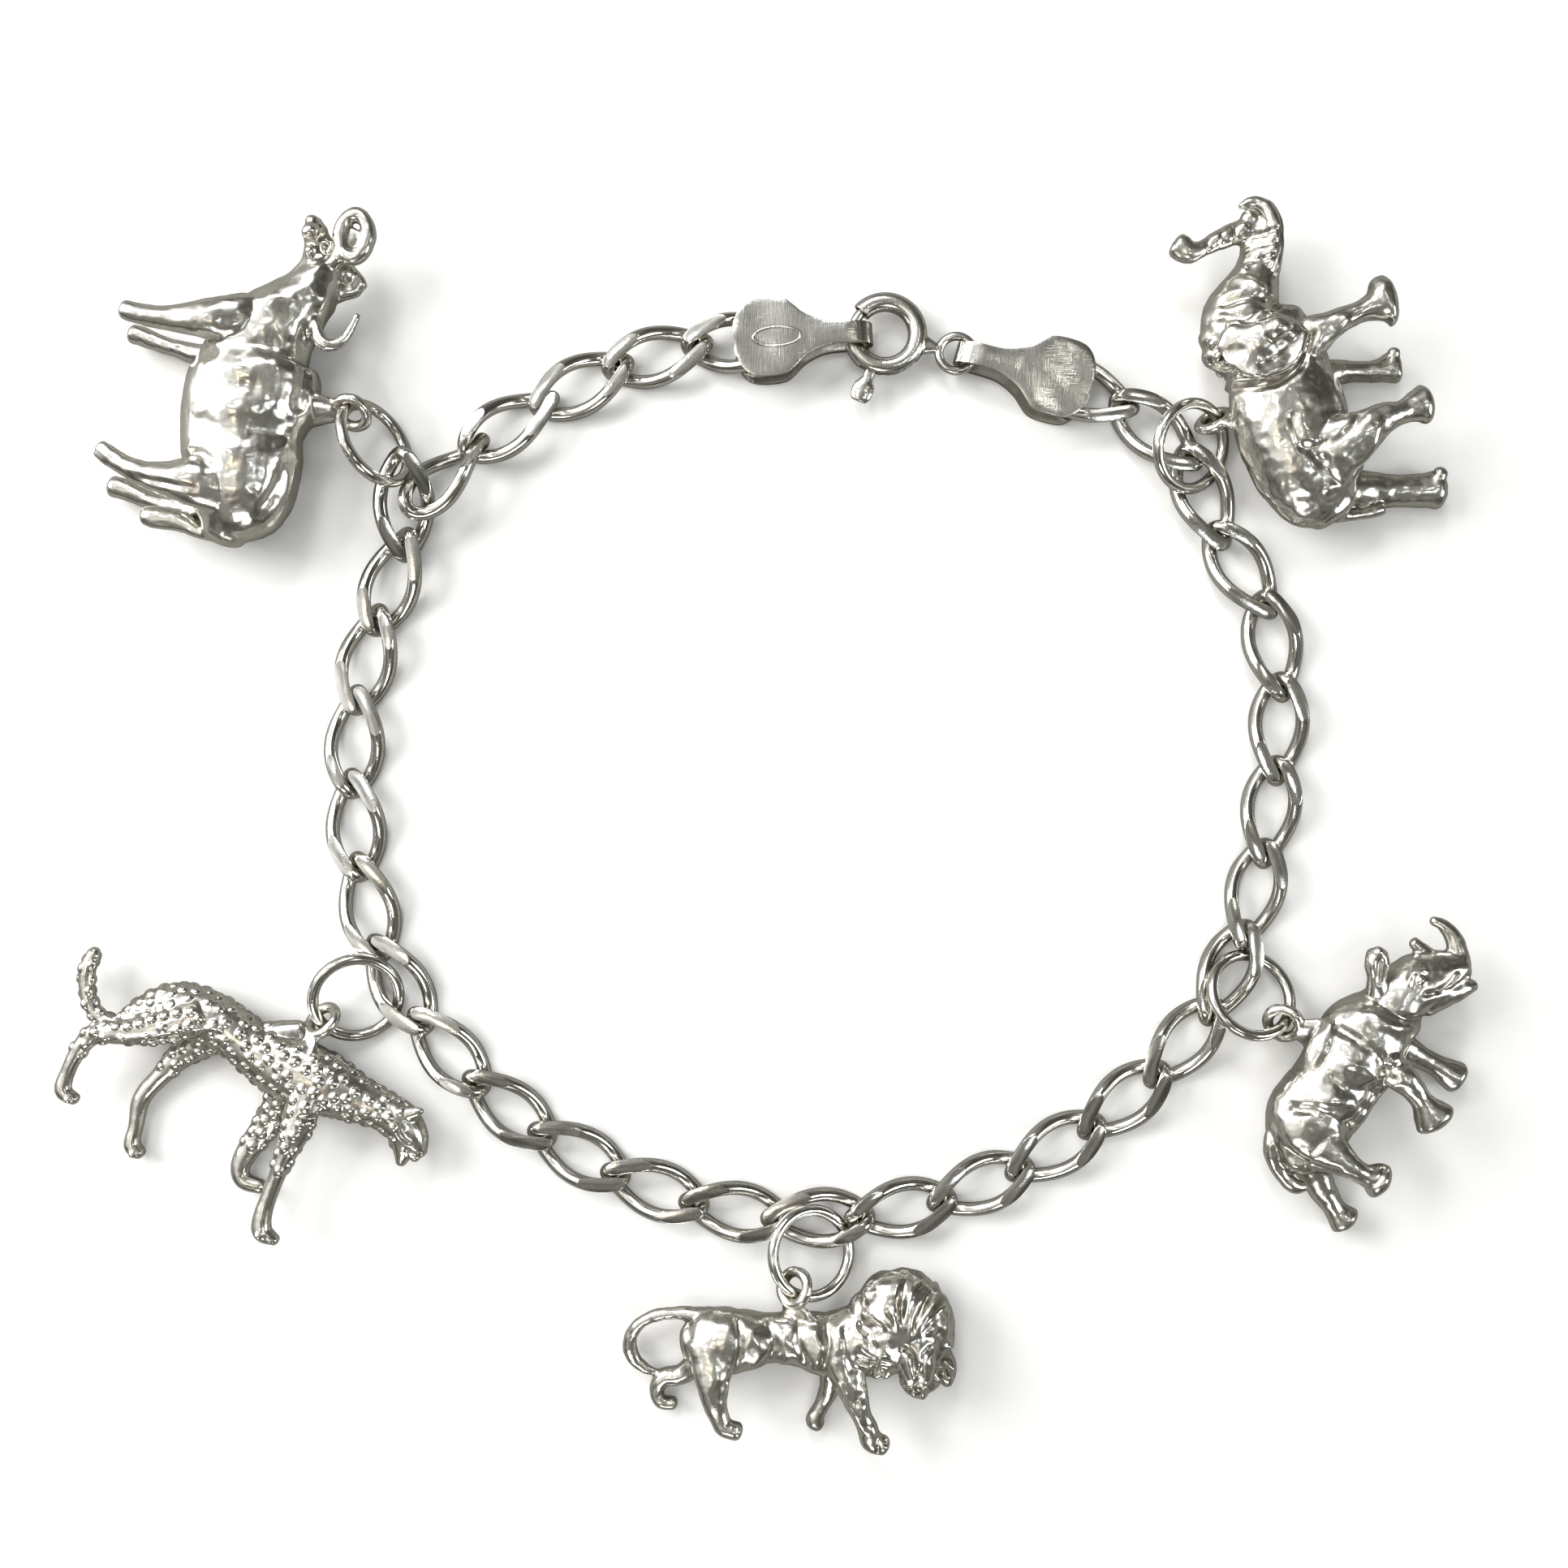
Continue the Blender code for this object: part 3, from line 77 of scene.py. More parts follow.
# Clasp, in millimetres
CLASP_AT = Vector((7.6, 31.35, 1.2))
CLASP_RADIUS = 2.08
CLASP_TUBE = 1.24
CLASP_BORE = 0.9
BOLT_RADIUS = 0.33
GAP_START = math.radians(138)
GAP_END = math.radians(186)
SLOT_START = math.radians(232)
SLOT_END = math.radians(320)
SLOT_WIDTH = 0.6
SOCKET_DEPTH = math.radians(16)
BOLT_REACH = math.radians(7)
LEVER_ANGLE = math.radians(248)
LEVER_REACH = 2.0
EYE_ANGLE = math.radians(-15)
EYE_REACH = 4.72
EYE_RADIUS = 1.11
EYE_WIRE = 0.58
CLASP_GRAIN = 0.058
BOLT_GRAIN = 0.046

# Oval sections: how far out, half width and half thickness
Section = namedtuple("Section", "reach wide thick")
NECK = (
    Section(2.45, 0.62, 0.319),
    Section(2.75, 0.58, 0.319),
    Section(3.00, 0.48, 0.319),
    Section(3.30, 0.36, 0.319),
    Section(3.60, 0.30, 0.300),
)
# The lever's reach is in shares of LEVER_REACH from the ring's edge
LEVER = (
    Section(-0.31, 0.36, 0.21),
    Section(0.15, 0.36, 0.21),
    Section(0.28, 0.52, 0.22),
    Section(0.42, 0.68, 0.26),
    Section(0.62, 0.72, 0.28),
    Section(0.82, 0.66, 0.25),
    Section(0.95, 0.48, 0.20),
)

# Leaf tabs, in millimetres
TAB_LENGTH = 7.5
TAB_WIDTH = 4.95
TAB_SHEET = 0.35
TAB_HALF_GAP = 0.95
TAB_POST = 0.6
TAB_POST_AT = 5.2
TAB_HEADINGS = {"tab_left": math.radians(183.5), "tab_right": math.radians(-15.5)}
TAB_HOLES = {"tab_left": (CLASP_AT, 1.4445), "tab_right": (None, 0.7822)}
TAB_FOLD_CLEARANCE = 0.12
TAB_FOLDS = 12
TAB_CROWN = 0.05
TAB_DENT = 0.05
TAB_ROUNDING = 0.07
PLATE_AT = (4.85, 0.05)
PLATE_LONG = 1.5
PLATE_WIDE = 0.6
PLATE_RIM = 0.08
TAB_OUTLINE = (
    (0.00, 0.27),
    (0.18, 0.28),
    (0.30, 0.37),
    (0.42, 0.56),
    (0.50, 0.78),
    (0.58, 0.95),
    (0.72, 1.00),
    (0.86, 0.96),
    (0.94, 0.78),
    (0.985, 0.52),
    (1.00, 0.30),
)

# Hanging loops of the charms, in millimetres: middle, the way each rises and how steeply
BAIL_RADIUS = 1.0
Loop = namedtuple("Loop", "at rises tilt")
LOOPS = {
    "buffalo": Loop((-26.1, 25.9, 3.25), 72, 45),
    "elephant": Loop((28.71, 25.81, 1.2), -57, 62),
    "rhinoceros": Loop((32.91, -12.7, 2.02), 37, 35),
    "lion": Loop((1.76, -29.41, 2.53), -28, 42),
    "cheetah": Loop((-28.4, -12.63, 1.53), -53, 48),
}

# Where each animal lies, the finest grain that its metal holds and how lumpy it is, in millimetres
Animal = namedtuple("Animal", "length at heading right_side_down root voxel lumps")
ANIMALS = {
    "buffalo": Animal(21.7, (-42.1, 17.25), 82, False, (0.49, 0.53, 0.14), 0.105, 0.12),
    "elephant": Animal(20.7, (43.7, 19.35), 92, True, (0.32, 0.62, 0.13), 0.101, 0.15),
    "rhinoceros": Animal(22.2, (39.0, -29.75), 68, True, (0.62, 0.42, 0.12), 0.096, 0.14),
    "lion": Animal(21.3, (-9.0, -40.55), 0, True, (0.53, 0.42, 0.10), 0.09, 0.13),
    "cheetah": Animal(25.8, (-46.7, -16.85), -19, True, (0.60, 0.30, 0.07), 0.086, 0.05),
}
CAST_SIDES = 40
CUT_STEPS = 4
CAP_STEPS = 4
CAST_FULLNESS = 0.965
SPOT_SPACING = 2.3
SPOT_HEIGHT = 0.14
COARSE_LUMP = 1.1
FINE_LUMP = 0.5

# A form is a row of cuts through it: along the body, up from the feet, out from the surface, and
# half the cut's height and thickness, all in shares of the animal's length
Cut = namedtuple("Cut", "along up out tall thick")

FORMS = {
    "buffalo": {
        "body": (
            Cut(0.10, 0.350, 0.140, 0.070, 0.060),
            Cut(0.15, 0.365, 0.140, 0.130, 0.100),
            Cut(0.22, 0.380, 0.140, 0.165, 0.125),
            Cut(0.31, 0.378, 0.140, 0.178, 0.130),
            Cut(0.39, 0.365, 0.140, 0.182, 0.128),
            Cut(0.47, 0.370, 0.140, 0.195, 0.132),
            Cut(0.55, 0.385, 0.140, 0.197, 0.134),
            Cut(0.63, 0.385, 0.140, 0.165, 0.120),
            Cut(0.71, 0.420, 0.140, 0.135, 0.105),
            Cut(0.78, 0.470, 0.140, 0.105, 0.090),
            Cut(0.85, 0.510, 0.140, 0.080, 0.075),
            Cut(0.91, 0.525, 0.140, 0.062, 0.062),
            Cut(0.965, 0.520, 0.145, 0.045, 0.045),
        ),
        "muzzle": (
            Cut(0.93, 0.515, 0.150, 0.045, 0.045),
            Cut(0.970, 0.512, 0.160, 0.040, 0.040),
            Cut(1.005, 0.502, 0.165, 0.036, 0.036),
            Cut(1.028, 0.498, 0.165, 0.022, 0.024),
        ),
        "near_ear": (
            Cut(0.900, 0.545, 0.165, 0.034, 0.028),
            Cut(0.940, 0.580, 0.172, 0.028, 0.022),
            Cut(0.985, 0.608, 0.172, 0.034, 0.016),
            Cut(1.010, 0.622, 0.172, 0.034, 0.014),
        ),
        "far_ear": (
            Cut(0.840, 0.560, 0.110, 0.030, 0.022),
            Cut(0.875, 0.600, 0.100, 0.045, 0.020),
            Cut(0.900, 0.630, 0.100, 0.038, 0.018),
        ),
        "horn": (
            Cut(0.740, 0.530, 0.180, 0.022, 0.018),
            Cut(0.690, 0.562, 0.185, 0.022, 0.016),
            Cut(0.672, 0.592, 0.185, 0.020, 0.015),
            Cut(0.690, 0.626, 0.182, 0.016, 0.014),
            Cut(0.730, 0.648, 0.180, 0.012, 0.012),
            Cut(0.772, 0.660, 0.178, 0.009, 0.010),
        ),
        "near_hind_leg": (
            Cut(0.240, 0.380, 0.175, 0.115, 0.060),
            Cut(0.232, 0.330, 0.220, 0.095, 0.052),
            Cut(0.225, 0.270, 0.235, 0.075, 0.050),
            Cut(0.222, 0.190, 0.235, 0.050, 0.042),
            Cut(0.232, 0.115, 0.230, 0.036, 0.034),
            Cut(0.252, 0.058, 0.230, 0.030, 0.028),
            Cut(0.285, 0.004, 0.230, 0.024, 0.022),
        ),
        "near_hind_toe": (
            Cut(0.240, 0.080, 0.230, 0.024, 0.024),
            Cut(0.250, 0.030, 0.230, 0.018, 0.018),
            Cut(0.268, -0.006, 0.230, 0.013, 0.014),
        ),
        "far_hind_leg": (
            Cut(0.170, 0.300, 0.070, 0.060, 0.050),
            Cut(0.165, 0.180, 0.055, 0.040, 0.040),
            Cut(0.175, 0.090, 0.050, 0.028, 0.034),
            Cut(0.195, 0.020, 0.050, 0.032, 0.036),
            Cut(0.200, -0.018, 0.050, 0.034, 0.036),
        ),
        "near_front_leg": (
            Cut(0.700, 0.420, 0.150, 0.095, 0.055),
            Cut(0.700, 0.350, 0.196, 0.090, 0.055),
            Cut(0.692, 0.270, 0.228, 0.066, 0.050),
            Cut(0.680, 0.180, 0.230, 0.044, 0.040),
            Cut(0.676, 0.095, 0.226, 0.033, 0.033),
            Cut(0.685, 0.015, 0.225, 0.030, 0.028),
        ),
        "far_front_leg": (
            Cut(0.620, 0.300, 0.070, 0.055, 0.050),
            Cut(0.620, 0.180, 0.055, 0.034, 0.040),
            Cut(0.635, 0.080, 0.050, 0.026, 0.032),
            Cut(0.650, 0.010, 0.050, 0.030, 0.034),
            Cut(0.655, -0.020, 0.050, 0.032, 0.034),
        ),
        "tail": (
            Cut(0.125, 0.440, 0.140, 0.026, 0.024),
            Cut(0.090, 0.370, 0.130, 0.020, 0.020),
            Cut(0.095, 0.280, 0.125, 0.020, 0.020),
            Cut(0.118, 0.220, 0.120, 0.032, 0.024),
            Cut(0.120, 0.140, 0.120, 0.034, 0.024),
            Cut(0.120, 0.110, 0.120, 0.028, 0.020),
        ),
    },
    "elephant": {
        "body": (
            Cut(0.04, 0.375, 0.130, 0.090, 0.060),
            Cut(0.08, 0.405, 0.130, 0.140, 0.090),
            Cut(0.15, 0.440, 0.130, 0.168, 0.115),
            Cut(0.24, 0.480, 0.130, 0.175, 0.125),
            Cut(0.34, 0.505, 0.130, 0.180, 0.128),
            Cut(0.44, 0.530, 0.130, 0.165, 0.122),
            Cut(0.54, 0.545, 0.130, 0.150, 0.115),
            Cut(0.61, 0.560, 0.130, 0.120, 0.090),
        ),
        "head": (
            Cut(0.51, 0.645, 0.130, 0.100, 0.080),
            Cut(0.57, 0.650, 0.130, 0.118, 0.105),
            Cut(0.64, 0.640, 0.130, 0.118, 0.110),
            Cut(0.71, 0.610, 0.130, 0.095, 0.090),
            Cut(0.78, 0.585, 0.130, 0.068, 0.068),
            Cut(0.86, 0.570, 0.130, 0.060, 0.055),
            Cut(0.93, 0.565, 0.130, 0.045, 0.042),
        ),
        "raised_trunk": (
            Cut(0.885, 0.575, 0.130, 0.050, 0.045),
            Cut(0.890, 0.645, 0.138, 0.038, 0.036),
            Cut(0.865, 0.710, 0.145, 0.031, 0.031),
            Cut(0.840, 0.765, 0.150, 0.028, 0.028),
            Cut(0.835, 0.800, 0.152, 0.040, 0.030),
            Cut(0.855, 0.832, 0.152, 0.040, 0.028),
        ),
        "near_tusk": (
            Cut(0.760, 0.565, 0.160, 0.042, 0.038),
            Cut(0.844, 0.545, 0.174, 0.034, 0.032),
            Cut(0.905, 0.543, 0.178, 0.030, 0.027),
            Cut(0.950, 0.562, 0.178, 0.026, 0.023),
            Cut(0.972, 0.602, 0.176, 0.020, 0.018),
            Cut(0.960, 0.642, 0.174, 0.011, 0.012),
        ),
        "jaw": (
            Cut(0.820, 0.555, 0.115, 0.045, 0.040),
            Cut(0.900, 0.560, 0.110, 0.034, 0.030),
            Cut(0.945, 0.590, 0.110, 0.022, 0.020),
        ),
        "near_ear": (
            Cut(0.560, 0.705, 0.220, 0.060, 0.030),
            Cut(0.530, 0.655, 0.246, 0.096, 0.030),
            Cut(0.522, 0.595, 0.256, 0.102, 0.030),
            Cut(0.535, 0.540, 0.252, 0.082, 0.026),
            Cut(0.560, 0.500, 0.244, 0.042, 0.020),
        ),
        "far_ear": (
            Cut(0.560, 0.700, 0.045, 0.060, 0.024),
            Cut(0.540, 0.630, 0.030, 0.090, 0.020),
            Cut(0.560, 0.550, 0.028, 0.070, 0.018),
        ),
        "near_hind_leg": (
            Cut(0.200, 0.420, 0.205, 0.118, 0.052),
            Cut(0.248, 0.325, 0.226, 0.076, 0.054),
            Cut(0.290, 0.255, 0.234, 0.050, 0.046),
            Cut(0.308, 0.195, 0.226, 0.038, 0.040),
            Cut(0.325, 0.150, 0.222, 0.050, 0.045),
            Cut(0.330, 0.128, 0.220, 0.062, 0.048),
        ),
        "far_hind_leg": (
            Cut(0.100, 0.380, 0.075, 0.080, 0.055),
            Cut(0.105, 0.260, 0.060, 0.066, 0.050),
            Cut(0.100, 0.150, 0.055, 0.052, 0.045),
            Cut(0.100, 0.070, 0.055, 0.056, 0.048),
            Cut(0.100, 0.030, 0.055, 0.064, 0.050),
        ),
        "near_front_leg": (
            Cut(0.540, 0.470, 0.195, 0.078, 0.052),
            Cut(0.585, 0.385, 0.212, 0.044, 0.044),
            Cut(0.615, 0.310, 0.215, 0.034, 0.038),
            Cut(0.632, 0.262, 0.215, 0.048, 0.042),
            Cut(0.643, 0.238, 0.215, 0.080, 0.050),
            Cut(0.646, 0.224, 0.215, 0.084, 0.050),
        ),
        "far_front_leg": (
            Cut(0.460, 0.440, 0.075, 0.070, 0.050),
            Cut(0.475, 0.320, 0.055, 0.038, 0.040),
            Cut(0.475, 0.220, 0.050, 0.034, 0.038),
            Cut(0.485, 0.150, 0.050, 0.055, 0.040),
        ),
        "tail": (
            Cut(0.055, 0.500, 0.130, 0.026, 0.024),
            Cut(0.022, 0.410, 0.120, 0.020, 0.018),
            Cut(0.022, 0.310, 0.105, 0.017, 0.016),
            Cut(0.040, 0.215, 0.095, 0.020, 0.018),
        ),
    },
    "rhinoceros": {
        "body": (
            Cut(0.26, 0.370, 0.115, 0.070, 0.060),
            Cut(0.31, 0.375, 0.115, 0.105, 0.090),
            Cut(0.39, 0.378, 0.115, 0.132, 0.105),
            Cut(0.49, 0.355, 0.115, 0.125, 0.105),
            Cut(0.59, 0.335, 0.115, 0.130, 0.108),
            Cut(0.67, 0.315, 0.115, 0.135, 0.105),
            Cut(0.745, 0.285, 0.115, 0.100, 0.090),
            Cut(0.81, 0.270, 0.118, 0.088, 0.080),
            Cut(0.865, 0.235, 0.120, 0.088, 0.075),
            Cut(0.91, 0.185, 0.120, 0.074, 0.062),
            Cut(0.945, 0.145, 0.120, 0.050, 0.045),
        ),
        "jaw": (
            Cut(0.830, 0.210, 0.120, 0.060, 0.055),
            Cut(0.885, 0.135, 0.120, 0.040, 0.040),
            Cut(0.912, 0.090, 0.120, 0.018, 0.022),
        ),
        "front_horn": (
            Cut(0.930, 0.150, 0.120, 0.045, 0.036),
            Cut(0.980, 0.165, 0.120, 0.032, 0.028),
            Cut(1.020, 0.198, 0.120, 0.024, 0.022),
            Cut(1.040, 0.236, 0.120, 0.019, 0.018),
            Cut(1.040, 0.268, 0.120, 0.014, 0.014),
        ),
        "rear_horn": (
            Cut(0.920, 0.200, 0.120, 0.040, 0.032),
            Cut(0.945, 0.252, 0.122, 0.025, 0.022),
            Cut(0.962, 0.296, 0.124, 0.018, 0.016),
        ),
        "near_ear": (
            Cut(0.785, 0.340, 0.145, 0.040, 0.030),
            Cut(0.825, 0.366, 0.162, 0.029, 0.026),
            Cut(0.865, 0.386, 0.168, 0.036, 0.030),
            Cut(0.893, 0.396, 0.168, 0.032, 0.028),
        ),
        "far_ear": (
            Cut(0.795, 0.320, 0.085, 0.026, 0.024),
            Cut(0.835, 0.345, 0.070, 0.024, 0.018),
            Cut(0.870, 0.358, 0.062, 0.014, 0.012),
        ),
        "near_hind_leg": (
            Cut(0.330, 0.335, 0.170, 0.078, 0.048),
            Cut(0.310, 0.262, 0.188, 0.042, 0.040),
            Cut(0.303, 0.206, 0.186, 0.033, 0.035),
            Cut(0.302, 0.172, 0.185, 0.048, 0.042),
            Cut(0.300, 0.156, 0.185, 0.054, 0.042),
        ),
        "far_hind_leg": (
            Cut(0.280, 0.330, 0.070, 0.060, 0.045),
            Cut(0.205, 0.245, 0.050, 0.042, 0.038),
            Cut(0.168, 0.192, 0.047, 0.034, 0.034),
            Cut(0.147, 0.152, 0.047, 0.050, 0.040),
        ),
        "near_front_leg": (
            Cut(0.620, 0.280, 0.170, 0.062, 0.048),
            Cut(0.590, 0.195, 0.188, 0.042, 0.040),
            Cut(0.556, 0.132, 0.186, 0.034, 0.036),
            Cut(0.530, 0.092, 0.185, 0.054, 0.042),
            Cut(0.520, 0.076, 0.185, 0.062, 0.044),
        ),
        "far_front_leg": (
            Cut(0.680, 0.260, 0.070, 0.060, 0.045),
            Cut(0.670, 0.160, 0.050, 0.040, 0.038),
            Cut(0.660, 0.080, 0.047, 0.034, 0.034),
            Cut(0.650, 0.008, 0.047, 0.050, 0.040),
        ),
        "back_ridge": (
            Cut(0.650, 0.420, 0.150, 0.040, 0.032),
            Cut(0.580, 0.438, 0.155, 0.042, 0.036),
            Cut(0.500, 0.430, 0.150, 0.036, 0.032),
            Cut(0.430, 0.415, 0.140, 0.026, 0.026),
        ),
        "tail": (
            Cut(0.330, 0.455, 0.120, 0.030, 0.030),
            Cut(0.260, 0.450, 0.125, 0.024, 0.022),
            Cut(0.210, 0.398, 0.120, 0.021, 0.020),
            Cut(0.190, 0.345, 0.115, 0.023, 0.019),
            Cut(0.200, 0.318, 0.112, 0.016, 0.014),
        ),
    },
    "lion": {
        "body": (
            Cut(0.19, 0.360, 0.100, 0.060, 0.045),
            Cut(0.23, 0.360, 0.100, 0.095, 0.075),
            Cut(0.30, 0.360, 0.100, 0.105, 0.088),
            Cut(0.37, 0.365, 0.100, 0.090, 0.080),
            Cut(0.45, 0.370, 0.100, 0.075, 0.070),
            Cut(0.53, 0.365, 0.100, 0.085, 0.078),
            Cut(0.61, 0.350, 0.100, 0.100, 0.090),
            Cut(0.69, 0.360, 0.105, 0.110, 0.092),
            Cut(0.78, 0.400, 0.110, 0.115, 0.088),
        ),
        "mane": (
            Cut(0.700, 0.440, 0.110, 0.070, 0.060),
            Cut(0.740, 0.438, 0.112, 0.132, 0.098),
            Cut(0.790, 0.424, 0.116, 0.172, 0.112),
            Cut(0.838, 0.400, 0.118, 0.168, 0.110),
            Cut(0.878, 0.370, 0.118, 0.142, 0.092),
            Cut(0.908, 0.336, 0.115, 0.100, 0.064),
        ),
        "face": (
            Cut(0.845, 0.395, 0.165, 0.075, 0.055),
            Cut(0.862, 0.338, 0.190, 0.062, 0.048),
            Cut(0.868, 0.285, 0.192, 0.046, 0.040),
            Cut(0.860, 0.250, 0.180, 0.032, 0.030),
        ),
        "beard": (
            Cut(0.880, 0.310, 0.120, 0.078, 0.072),
            Cut(0.870, 0.260, 0.120, 0.072, 0.058),
            Cut(0.850, 0.228, 0.120, 0.040, 0.034),
        ),
        "far_lock": (
            Cut(0.915, 0.340, 0.090, 0.045, 0.045),
            Cut(0.962, 0.280, 0.080, 0.032, 0.034),
            Cut(0.962, 0.225, 0.075, 0.018, 0.020),
        ),
        "near_hind_leg": (
            Cut(0.270, 0.360, 0.145, 0.085, 0.038),
            Cut(0.265, 0.270, 0.162, 0.058, 0.036),
            Cut(0.268, 0.210, 0.165, 0.040, 0.032),
            Cut(0.282, 0.160, 0.165, 0.032, 0.028),
            Cut(0.300, 0.126, 0.165, 0.030, 0.029),
            Cut(0.336, 0.114, 0.165, 0.029, 0.030),
        ),
        "far_hind_leg": (
            Cut(0.235, 0.300, 0.065, 0.045, 0.040),
            Cut(0.165, 0.240, 0.045, 0.030, 0.030),
            Cut(0.110, 0.230, 0.040, 0.030, 0.028),
            Cut(0.090, 0.185, 0.035, 0.023, 0.025),
            Cut(0.103, 0.155, 0.035, 0.022, 0.027),
            Cut(0.142, 0.150, 0.035, 0.020, 0.026),
        ),
        "near_front_leg": (
            Cut(0.645, 0.330, 0.155, 0.070, 0.040),
            Cut(0.675, 0.240, 0.168, 0.048, 0.034),
            Cut(0.700, 0.170, 0.170, 0.032, 0.030),
            Cut(0.718, 0.130, 0.165, 0.032, 0.030),
            Cut(0.735, 0.088, 0.165, 0.036, 0.032),
            Cut(0.766, 0.076, 0.165, 0.033, 0.033),
        ),
        "far_front_leg": (
            Cut(0.625, 0.290, 0.065, 0.050, 0.040),
            Cut(0.612, 0.200, 0.045, 0.032, 0.032),
            Cut(0.585, 0.140, 0.038, 0.026, 0.028),
            Cut(0.568, 0.102, 0.035, 0.029, 0.029),
            Cut(0.580, 0.086, 0.035, 0.024, 0.024),
        ),
        "tail": (
            Cut(0.260, 0.430, 0.100, 0.032, 0.032),
            Cut(0.150, 0.440, 0.090, 0.020, 0.020),
            Cut(0.060, 0.415, 0.070, 0.018, 0.018),
            Cut(0.012, 0.360, 0.055, 0.021, 0.019),
            Cut(0.015, 0.300, 0.045, 0.022, 0.021),
            Cut(0.050, 0.260, 0.040, 0.017, 0.018),
            Cut(0.085, 0.247, 0.038, 0.013, 0.014),
        ),
    },
    "cheetah": {
        "body": (
            Cut(0.160, 0.235, 0.070, 0.026, 0.028),
            Cut(0.210, 0.272, 0.070, 0.050, 0.045),
            Cut(0.270, 0.300, 0.070, 0.066, 0.055),
            Cut(0.340, 0.306, 0.070, 0.068, 0.060),
            Cut(0.410, 0.295, 0.070, 0.062, 0.058),
            Cut(0.480, 0.270, 0.070, 0.066, 0.056),
            Cut(0.550, 0.255, 0.070, 0.080, 0.060),
            Cut(0.620, 0.246, 0.070, 0.088, 0.063),
            Cut(0.690, 0.241, 0.072, 0.078, 0.060),
            Cut(0.760, 0.234, 0.074, 0.062, 0.050),
            Cut(0.830, 0.230, 0.076, 0.050, 0.045),
            Cut(0.885, 0.217, 0.078, 0.052, 0.045),
            Cut(0.925, 0.188, 0.078, 0.044, 0.037),
            Cut(0.948, 0.158, 0.078, 0.028, 0.026),
        ),
        "back_web": (
            Cut(0.470, 0.296, 0.070, 0.030, 0.036),
            Cut(0.530, 0.314, 0.068, 0.044, 0.030),
            Cut(0.580, 0.340, 0.064, 0.036, 0.024),
        ),
        "chin": (
            Cut(0.900, 0.190, 0.078, 0.038, 0.034),
            Cut(0.915, 0.150, 0.078, 0.026, 0.026),
            Cut(0.918, 0.122, 0.078, 0.014, 0.016),
        ),
        "near_ear": (
            Cut(0.890, 0.240, 0.100, 0.022, 0.018),
            Cut(0.915, 0.258, 0.108, 0.016, 0.012),
            Cut(0.930, 0.268, 0.110, 0.008, 0.008),
        ),
        "near_hind_leg": (
            Cut(0.340, 0.308, 0.108, 0.046, 0.028),
            Cut(0.260, 0.255, 0.118, 0.045, 0.029),
            Cut(0.180, 0.215, 0.120, 0.032, 0.027),
            Cut(0.115, 0.188, 0.118, 0.028, 0.024),
            Cut(0.090, 0.140, 0.115, 0.022, 0.020),
            Cut(0.080, 0.080, 0.112, 0.019, 0.018),
            Cut(0.083, 0.030, 0.110, 0.022, 0.019),
            Cut(0.118, 0.018, 0.110, 0.016, 0.018),
        ),
        "far_hind_leg": (
            Cut(0.370, 0.255, 0.045, 0.042, 0.034),
            Cut(0.310, 0.190, 0.033, 0.036, 0.026),
            Cut(0.275, 0.120, 0.030, 0.026, 0.022),
            Cut(0.247, 0.050, 0.028, 0.024, 0.020),
            Cut(0.256, -0.020, 0.028, 0.019, 0.019),
            Cut(0.262, -0.068, 0.028, 0.022, 0.021),
            Cut(0.288, -0.082, 0.028, 0.018, 0.020),
        ),
        "near_front_leg": (
            Cut(0.650, 0.220, 0.105, 0.050, 0.030),
            Cut(0.655, 0.130, 0.116, 0.040, 0.028),
            Cut(0.650, 0.050, 0.115, 0.026, 0.022),
            Cut(0.645, -0.030, 0.112, 0.020, 0.019),
            Cut(0.645, -0.100, 0.112, 0.024, 0.021),
            Cut(0.658, -0.138, 0.112, 0.026, 0.023),
            Cut(0.695, -0.148, 0.112, 0.014, 0.018),
        ),
        "far_front_leg": (
            Cut(0.585, 0.200, 0.045, 0.042, 0.034),
            Cut(0.567, 0.100, 0.032, 0.038, 0.026),
            Cut(0.545, 0.030, 0.029, 0.032, 0.022),
            Cut(0.535, -0.030, 0.028, 0.026, 0.021),
            Cut(0.556, -0.062, 0.028, 0.022, 0.021),
            Cut(0.602, -0.062, 0.028, 0.019, 0.019),
        ),
        "tail": (
            Cut(0.200, 0.250, 0.070, 0.032, 0.030),
            Cut(0.135, 0.217, 0.070, 0.021, 0.021),
            Cut(0.080, 0.228, 0.070, 0.020, 0.020),
            Cut(0.046, 0.268, 0.070, 0.020, 0.020),
            Cut(0.030, 0.318, 0.070, 0.021, 0.021),
            Cut(0.033, 0.362, 0.070, 0.020, 0.020),
        ),
    },
}

